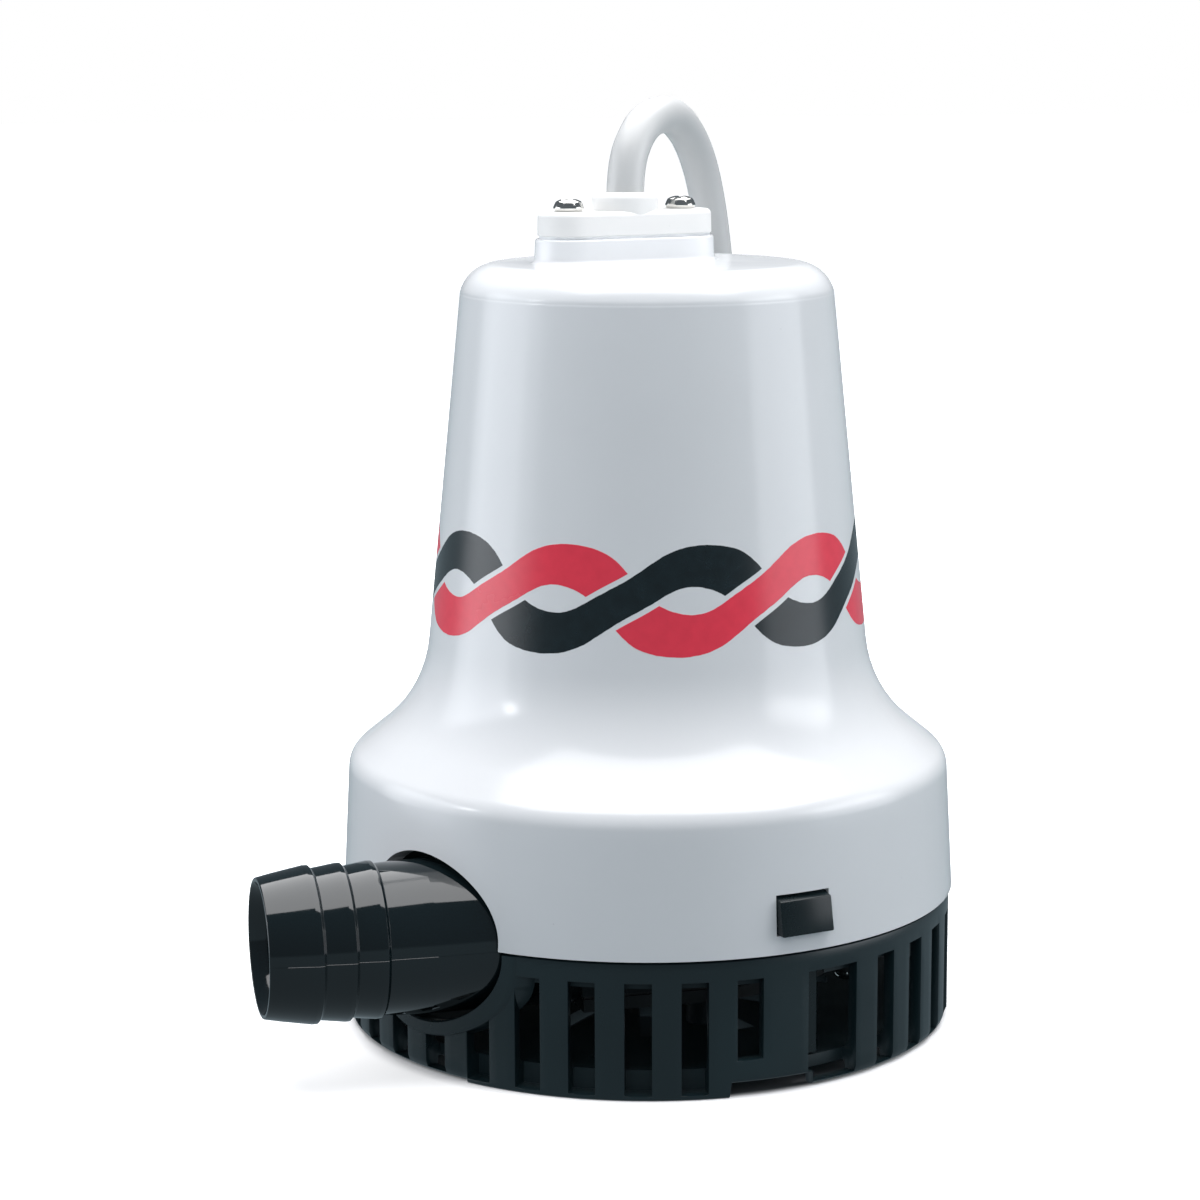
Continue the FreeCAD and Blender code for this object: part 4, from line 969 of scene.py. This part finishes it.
def basket():
    wall = [(59.7, 25.8), (59.7, 24.2), (59.7, 22.15), (59.7, 17.0), (59.7, 12.0), (59.7, 6.9), (59.7, 4.4)]
    top, low, rim = 2, 5, 8
    # rows below the wall: plain, in a foot, in a relief, in both
    plain = [(59.7, 2.1), (59.3, 0.9), (58.7, 0.37), (57.7, 0.1), (56.8, 0.1), (56.8, 0.9), (56.6, 2.4), (55.9, 2.4), (55.0, 2.4), (48.0, 2.4), (41.6, 2.4), (41.45, 2.4)]
    foot = [(59.7, 2.1), (59.7, 0.9), (59.7, 0.3), (59.4, 0.0), (57.6, 0.0), (57.0, 0.0), (56.4, 0.0), (55.9, 0.0), (55.0, 0.0), (48.0, 0.0), (41.6, 0.0), (41.45, 2.4)]
    relief = [(59.7, 3.6), (59.7, 3.1), (59.4, 2.8), (58.0, 2.8), (57.3, 2.8), (56.8, 2.8), (56.4, 2.8), (55.9, 2.4), (55.0, 2.4), (48.0, 2.4), (41.6, 2.4), (41.45, 2.4)]
    both = relief[:7] + [(55.9, 0.0), (55.0, 0.0), (48.0, 0.0), (41.6, 0.0), (41.45, 2.4)]
    rest = [(37.2, 2.4), (1.5, 2.4)]
    rim_in, edge = 12, 14  # rows of the rim's inside and of the floor's edge
    inner = [(57.0, 25.8), (57.15, 24.2), (57.3, 22.15), (57.3, 17.0), (57.3, 12.0), (57.3, 6.9)]
    for k in range(1, 6):
        a = rad(68.7 * k / 5)
        inner.append((55.1 + 2.2 * math.cos(a), 6.8 - 2.2 * math.sin(a)))
    shelf = len(inner) - 1
    inner += [(55.1, 4.6), (37.0, 4.6), (1.5, 4.6)]

    def near(phi, at, half):
        return half - abs((phi - at + 180) % 360 - 180)

    def share(phi, spots, half):
        """1 inside an arc, 0 outside it, with a short step between."""
        best = max(near(phi, at, half) for at in spots)
        return min(1.0, max(0.0, best / 0.35))

    slots = []  # (centre, half width, kind): 1 open, 2 closed low, 3 in a foot
    for k in range(36):
        phi = (2.3 + 10 * k) % 360
        if any(near(phi, t, 1) > 0 or near(phi, t + 10, 1) > 0 for t in TAB_AT):
            continue
        kind = 2 if any(near(phi, t - 10, 1) > 0 for t in TAB_AT) else 1
        if kind == 1 and any(near(phi, f, FOOT) > 0 for f in FEET):
            kind = 3
        slots.append((phi, 2.5, kind))
    for t, kind in zip(TAB_AT, (1, 2)):
        slots.append(((t + 6.7) % 360, 5.6, kind))
    slots.sort()

    # every column: (azimuth outside, inside, kind)
    marks = []
    for spots, half in ((FEET, FOOT), ([t - 5.55 for t in TAB_AT], 8.25)):
        for f in spots:
            for side in (-1, 1):
                marks += [(f + side * half) % 360, (f + side * (half - 0.35)) % 360]
    cols = []
    for i, (phi, half, kind) in enumerate(slots):
        ho, hi = math.degrees(math.asin(half / 59.7)), math.degrees(math.asin(half / 57.3))
        stops = [(phi - ho, phi - hi, kind)]
        inside = sorted(m for m in marks if phi - ho + 0.1 < m < phi + ho - 0.1)
        for mk in inside:
            stops.append((mk, phi + (mk - phi) / ho * hi, kind))
        n = 6 if half > 3 else 3
        for k in range(1, n):
            t = -1 + 2 * k / n
            if all(abs(phi + t * ho - mk) > 0.12 for mk in inside):
                stops.append((phi + t * ho, phi + t * hi, kind))
        cols += sorted(stops)
        nxt, half2, _ = slots[(i + 1) % len(slots)]
        if i == len(slots) - 1:
            nxt += 360
        ho2, hi2 = math.degrees(math.asin(half2 / 59.7)), math.degrees(math.asin(half2 / 57.3))
        a, b, ai, bi = phi + ho, nxt - ho2, phi + hi, nxt - hi2
        fixed = sorted(m + d for m in marks for d in (0, 360) if a + 0.05 < m + d < b - 0.05)
        n = max(3, math.ceil((b - a) / 1.8))
        clean = [a] + fixed
        for k in range(1, n):
            v = a + (b - a) * k / n
            if all(abs(v - w) > 0.3 for w in clean):
                clean.append(v)
        for v in sorted(clean):
            cols.append((v, ai + (bi - ai) * (v - a) / (b - a), 0))
    n_out, n_in, m = len(wall) + len(plain) + len(rest), len(inner), len(cols)
    verts, faces = [], []
    for po, pi, kind in cols:
        f, g = share(po, FEET, FOOT), share(po, [t - 5.55 for t in TAB_AT], 8.25)
        c, s = math.sin(rad(po)), -math.cos(rad(po))
        rows = list(wall)
        for p, q, u, v in zip(plain, foot, relief, both):
            rows.append(tuple((p[i] * (1 - f) + q[i] * f) * (1 - g) + (u[i] * (1 - f) + v[i] * f) * g for i in (0, 1)))
        for r, z in rows + rest:
            verts.append((r * c, r * s, z))
        c, s = math.sin(rad(pi)), -math.cos(rad(pi))
        for r, z in inner:
            verts.append((r * c, r * s, z))
    size = n_out + n_in

    def O(j, i):
        return (j % m) * size + i

    def I(j, i):
        return (j % m) * size + n_out + i

    pocket = {}

    def E(j):
        """The back corner of a slot in a foot."""
        j %= m
        if j not in pocket:
            p = rad(cols[j][1])
            pocket[j] = len(verts)
            verts.append((55.9 * math.sin(p), -55.9 * math.cos(p), 0.9))
        return pocket[j]

    def cheek(j, kind):
        """The side of a slot on one column."""
        if kind == 2:
            ring = [O(j, i) for i in range(top, low + 1)] + [I(j, i) for i in range(low, top - 1, -1)]
        else:
            ring = [O(j, i) for i in range(top, rim + 1)]
            ring += [O(j, i) for i in range(rim_in, edge + 1)] if kind == 1 else [E(j)]
            ring += [I(j, i) for i in range(shelf, top - 1, -1)]
        return tuple(ring)

    for j in range(m):
        kind = cols[j][2]
        gone_out = {0: [], 1: list(range(top, rim)) + list(range(rim_in, edge)), 2: list(range(top, low)), 3: list(range(top, rim))}[kind]
        gone_in = range(top, {0: top, 1: shelf, 2: low, 3: shelf}[kind])
        for i in range(n_out - 1):
            if i not in gone_out:
                faces.append((O(j, i), O(j, i + 1), O(j + 1, i + 1), O(j + 1, i)))
        for i in range(n_in - 1):
            if i not in gone_in:
                faces.append((I(j, i), I(j + 1, i), I(j + 1, i + 1), I(j, i + 1)))
        faces.append((O(j, 0), O(j + 1, 0), I(j + 1, 0), I(j, 0)))
        if not kind:
            continue
        faces.append((O(j, top), I(j, top), I(j + 1, top), O(j + 1, top)))
        if kind == 2:
            faces.append((O(j, low), O(j + 1, low), I(j + 1, low), I(j, low)))
        elif kind == 1:
            faces.append((O(j, rim), O(j + 1, rim), O(j + 1, rim_in), O(j, rim_in)))
            faces.append((O(j, edge), O(j + 1, edge), I(j + 1, shelf), I(j, shelf)))
        else:
            faces.append((O(j, rim), O(j + 1, rim), E(j + 1), E(j)))
            faces.append((E(j), E(j + 1), I(j + 1, shelf), I(j, shelf)))
        if cols[j - 1][2] == 0:
            faces.append(cheek(j, kind))
        if cols[(j + 1) % m][2] == 0:
            faces.append(tuple(reversed(cheek(j + 1, kind))))
    faces.append(tuple(O(j, n_out - 1) for j in range(m)))
    faces.append(tuple(I(j, n_in - 1) for j in reversed(range(m))))
    wall = make("basket", verts, faces, "black_satin")
    return bevel(wall, 0.22, 2, 42)


def arc_block(name, line, phi0, phi1, slot, step=2.0):
    """A closed outline of (r, z) swept round the axis between two angles."""
    n = max(2, math.ceil((phi1 - phi0) / step))
    rings = []
    for k in range(n + 1):
        p = rad(phi0 + (phi1 - phi0) * k / n)
        rings.append([(r * math.sin(p), -r * math.cos(p), z) for r, z in line])
    return loft(name, rings, slot)


def collar():
    """The raised ring on the strainer round the outlet."""
    n = 60
    rings = []
    for k in range(-1, n + 2):
        deg = 180 + 180 * min(max(k, 0), n) / n
        a = rad(deg)
        z0 = OUT_Z - HOLE_OFF if 0 <= k <= n else 25.78
        # narrower at both sides
        wide = 16.95 + 0.95 * ease((min(deg - 180, 360 - deg) - 6) / 24)
        rows = [(15.35, 0.0), (HOLE, -0.35), (HOLE, -2.75), (wide, -2.75), (wide, -0.25), (wide - 0.2, -0.02), (wide - 0.5, 0.0)]
        ring = []
        for rho, deep in rows:
            y, z = OUT_Y + rho * math.cos(a), z0 + rho * math.sin(a)
            r = 60.05 + deep
            ring.append((-math.sqrt(r * r - y * y), y, z))
        rings.append(ring)
    return loft("collar", rings, "black_satin")


def outlet_cutter():
    """A round-ended block along the pipe."""
    plan = []
    for start, z in ((0, OUT_Z + HOLE_OFF), (180, OUT_Z - HOLE_OFF)):
        for k in range(65):
            a = rad(start + 180 * k / 64)
            plan.append((OUT_Y + HOLE * math.cos(a), z + HOLE * math.sin(a)))
    return loft("pipe_hole", [[(x, y, z) for y, z in plan] for x in (-20.0, -80.0)], "black_satin")


base = basket()
spigot = rounded([(57.35, 20.6, 0), (57.35, 25.6, 0), (57.0, 25.85, 0), (57.0, 31.0, 0.3), (55.0, 31.0, 0.3), (55.0, 22.7, 0)], 30)
for lo, hi in ((18.5, 186.1), (198.5, 275.0), (320.5, 366.1)):
    base = boolean(base, arc_block("spigot", spigot, lo, hi, "black_satin"), "UNION")
for a in (5, 95, 185, 275):
    x, y = 28 * math.cos(rad(a)), 28 * math.sin(rad(a))
    base = boolean(base, lathe("rest", [(2.6, 4.1), (2.6, 12.8)], "black_satin", 24, at=(x, y, 0)), "UNION")
base = boolean(base, outlet_cutter())
base = boolean(base, collar(), "UNION")
for k in range(12):
    a = 15 + 30 * k
    p = rad(a)
    base = boolean(base, block("inlet", (26.5 * math.sin(p), -26.5 * math.cos(p), 3.5), (19.0, 4.0, 4.0), "black_satin", a - 90))
for f in FEET:
    x, y = 48 * math.sin(rad(f)), -48 * math.cos(rad(f))
    base = boolean(base, lathe("screw_hole", [(2.25, -1.0), (2.25, 6.0)], "black_satin", 40, at=(x, y, 0)))
base.name = "strainer_base"
soft(base, 35)
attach(base, "pump")
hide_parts("strainer_basket")


# ------------------------------------------------------------------ lock tabs
def lock_tab(name, phi, body):
    arm = [(54.2, 5.1), (56.0, 5.1), (56.0, 30.0), (61.88, 30.0), (60.66, 36.36), (58.6, 37.0), (54.2, 37.0)]
    p = rad(phi)
    er, et = (math.sin(p), -math.cos(p)), (math.cos(p), math.sin(p))
    rings = []
    for w in (-5.4, 5.4):
        rings.append([(r * er[0] + w * et[0], r * er[1] + w * et[1], z) for r, z in arm])
    tab = soft(bevel(loft(name, rings, "black_gloss", M["tab_black"]), 0.26, 3, 12), 30)
    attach(tab, body)
    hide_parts(body)
    return tab


lock_tab("tab_front", TAB_AT[0], "lock_tab_front")
lock_tab("tab_rear", TAB_AT[1], "lock_tab_rear")

# ------------------------------------------------------------------ floor and light
FRONT = rad(-106.0)  # azimuth of the camera's side


def at_camera(x, y, z):
    """x to the right, y towards the camera, z up, in the row frame."""
    c, s = math.cos(FRONT), math.sin(FRONT)
    return (-x * s + y * c, x * c + y * s, z)


def toward(azimuth, elevation, distance, height=0.07):
    """A point seen from the object: azimuth 0 is the camera's side, 90 its right."""
    a, e = rad(azimuth), rad(elevation)
    x, y, z = at_camera(distance * math.sin(a) * math.cos(e), distance * math.cos(a) * math.cos(e), 0)
    return (x, y, height + distance * math.sin(e))


def white_floor():
    """Pale floor that glows into the white round it, more towards the far edge where
    the lamps' light falls off; under the pump it has no glow and a dark colour, painted shade."""
    n = Nodes("floor_white")
    far = n.tree.nodes.new("ShaderNodeVectorMath")
    far.operation = "LENGTH"
    n.link(n.coord(), far.inputs[0])
    pale = n.mix(n.noise(6, 3), (0.78, 0.78, 0.79), (0.82, 0.82, 0.83))
    # painted shade: the floor's colour is dark (0.10) within 57 mm of the pump's axis, under the pump
    n.colour(n.mix(n.ramp(far.outputs["Value"], 0.0570, 0.0590), (0.10, 0.105, 0.11), pale))
    n.rough(n.ramp(n.noise(40, 3), 0.3, 0.7, 0.6, 0.75))
    n.set(Specular_IOR_Level=0.1)
    # painted shade: no glow within 57.5 mm of the axis, so the floor under the pump stays dark; outside, the glow rises
    # from 0.6 by the base to 1.0 far out
    outside = n.ramp(far.outputs["Value"], 0.0575, 0.0625)
    glow = n.math("MULTIPLY", outside, n.ramp(far.outputs["Value"], 0.06, 0.32, 0.60, 1.0))
    n.set(Emission_Color=(1, 1, 1, 1))
    n.link(glow, n.bsdf.inputs["Emission Strength"])
    return n.mat


ground = make("floor", [(-9000, -9000, 0), (9000, -9000, 0), (9000, 9000, 0), (-9000, 9000, 0)], [(0, 1, 2, 3)], "black_satin", white_floor())
ground.location.z = -0.00005
ground.visible_diffuse = False
ground.visible_glossy = False


def panel(name, at, aim, wide, high, radiance, colour=(1, 1, 1)):
    """A softbox of one brightness all over."""
    light = bpy.data.lights.new(name, "AREA")
    light.shape = "RECTANGLE"
    light.size, light.size_y = wide, high
    light.energy = radiance * math.pi * wide * high
    light.color = colour
    obj = bpy.data.objects.new(name, light)
    scene.collection.objects.link(obj)
    obj.location = at
    obj.rotation_euler = (Vector(aim) - Vector(at)).to_track_quat("-Z", "Y").to_euler()
    obj.visible_camera = False
    return obj


AIM = (0, 0, 0.07)
over = panel("softbox_over", at_camera(0.06, -0.165, 0.70), at_camera(0.06, -0.165, 0.0), 0.92, 0.99, 4.2, (1.0, 0.995, 1.005))
over.rotation_euler = (0, 0, FRONT + math.pi / 2)
panel("softbox_right", toward(83, 10, 1.2), AIM, 0.92, 0.73, 1.95, (0.97, 0.99, 1.04))
panel("softbox_right_core", toward(83, 24, 1.12), AIM, 0.66, 0.34, 2.0)
panel("softbox_left", toward(-95, 9, 1.2), AIM, 0.9, 0.8, 1.5, (0.97, 0.99, 1.04))
panel("softbox_left_inner", toward(-86, 9, 1.18), AIM, 0.95, 0.8, 1.1, (0.97, 0.99, 1.04))
panel("lamp_left", toward(-73, 22, 1.15), AIM, 0.12, 0.12, 12.0)
fill = panel("fill_front", toward(-12, 30, 1.5), AIM, 1.0, 1.0, 1.50, (0.98, 0.99, 1.04))
fill.visible_glossy = False

world = bpy.data.worlds.new("studio")
scene.world = world
world.use_nodes = True
wt = world.node_tree
wt.nodes.clear()
out = wt.nodes.new("ShaderNodeOutputWorld")
mix = wt.nodes.new("ShaderNodeMixShader")
path = wt.nodes.new("ShaderNodeLightPath")
seen = wt.nodes.new("ShaderNodeBackground")
seen.inputs[0].default_value = (1, 1, 1, 1)
seen.inputs[1].default_value = 1.0
where = wt.nodes.new("ShaderNodeTexCoord")
split = wt.nodes.new("ShaderNodeSeparateXYZ")
height = wt.nodes.new("ShaderNodeMapRange")
height.inputs[1].default_value, height.inputs[2].default_value = -0.03, 0.03
room = wt.nodes.new("ShaderNodeMix")
room.data_type = "RGBA"
room.inputs[6].default_value = (0.26, 0.33, 0.37, 1)  # the studio's table
room.inputs[7].default_value = (0.13, 0.15, 0.17, 1)  # the dark room
glow = wt.nodes.new("ShaderNodeBackground")
glow.inputs[1].default_value = 1.0
wt.links.new(where.outputs["Generated"], split.inputs[0])
wt.links.new(split.outputs["Z"], height.inputs[0])
wt.links.new(height.outputs[0], room.inputs[0])
wt.links.new(room.outputs[2], glow.inputs[0])
wt.links.new(path.outputs["Is Camera Ray"], mix.inputs[0])
wt.links.new(glow.outputs[0], mix.inputs[1])
wt.links.new(seen.outputs[0], mix.inputs[2])
wt.links.new(mix.outputs[0], out.inputs[0])
scene.view_settings.view_transform = "Standard"
scene.view_settings.look = "None"
scene.view_settings.exposure = 0.0
scene.view_settings.gamma = 1.0
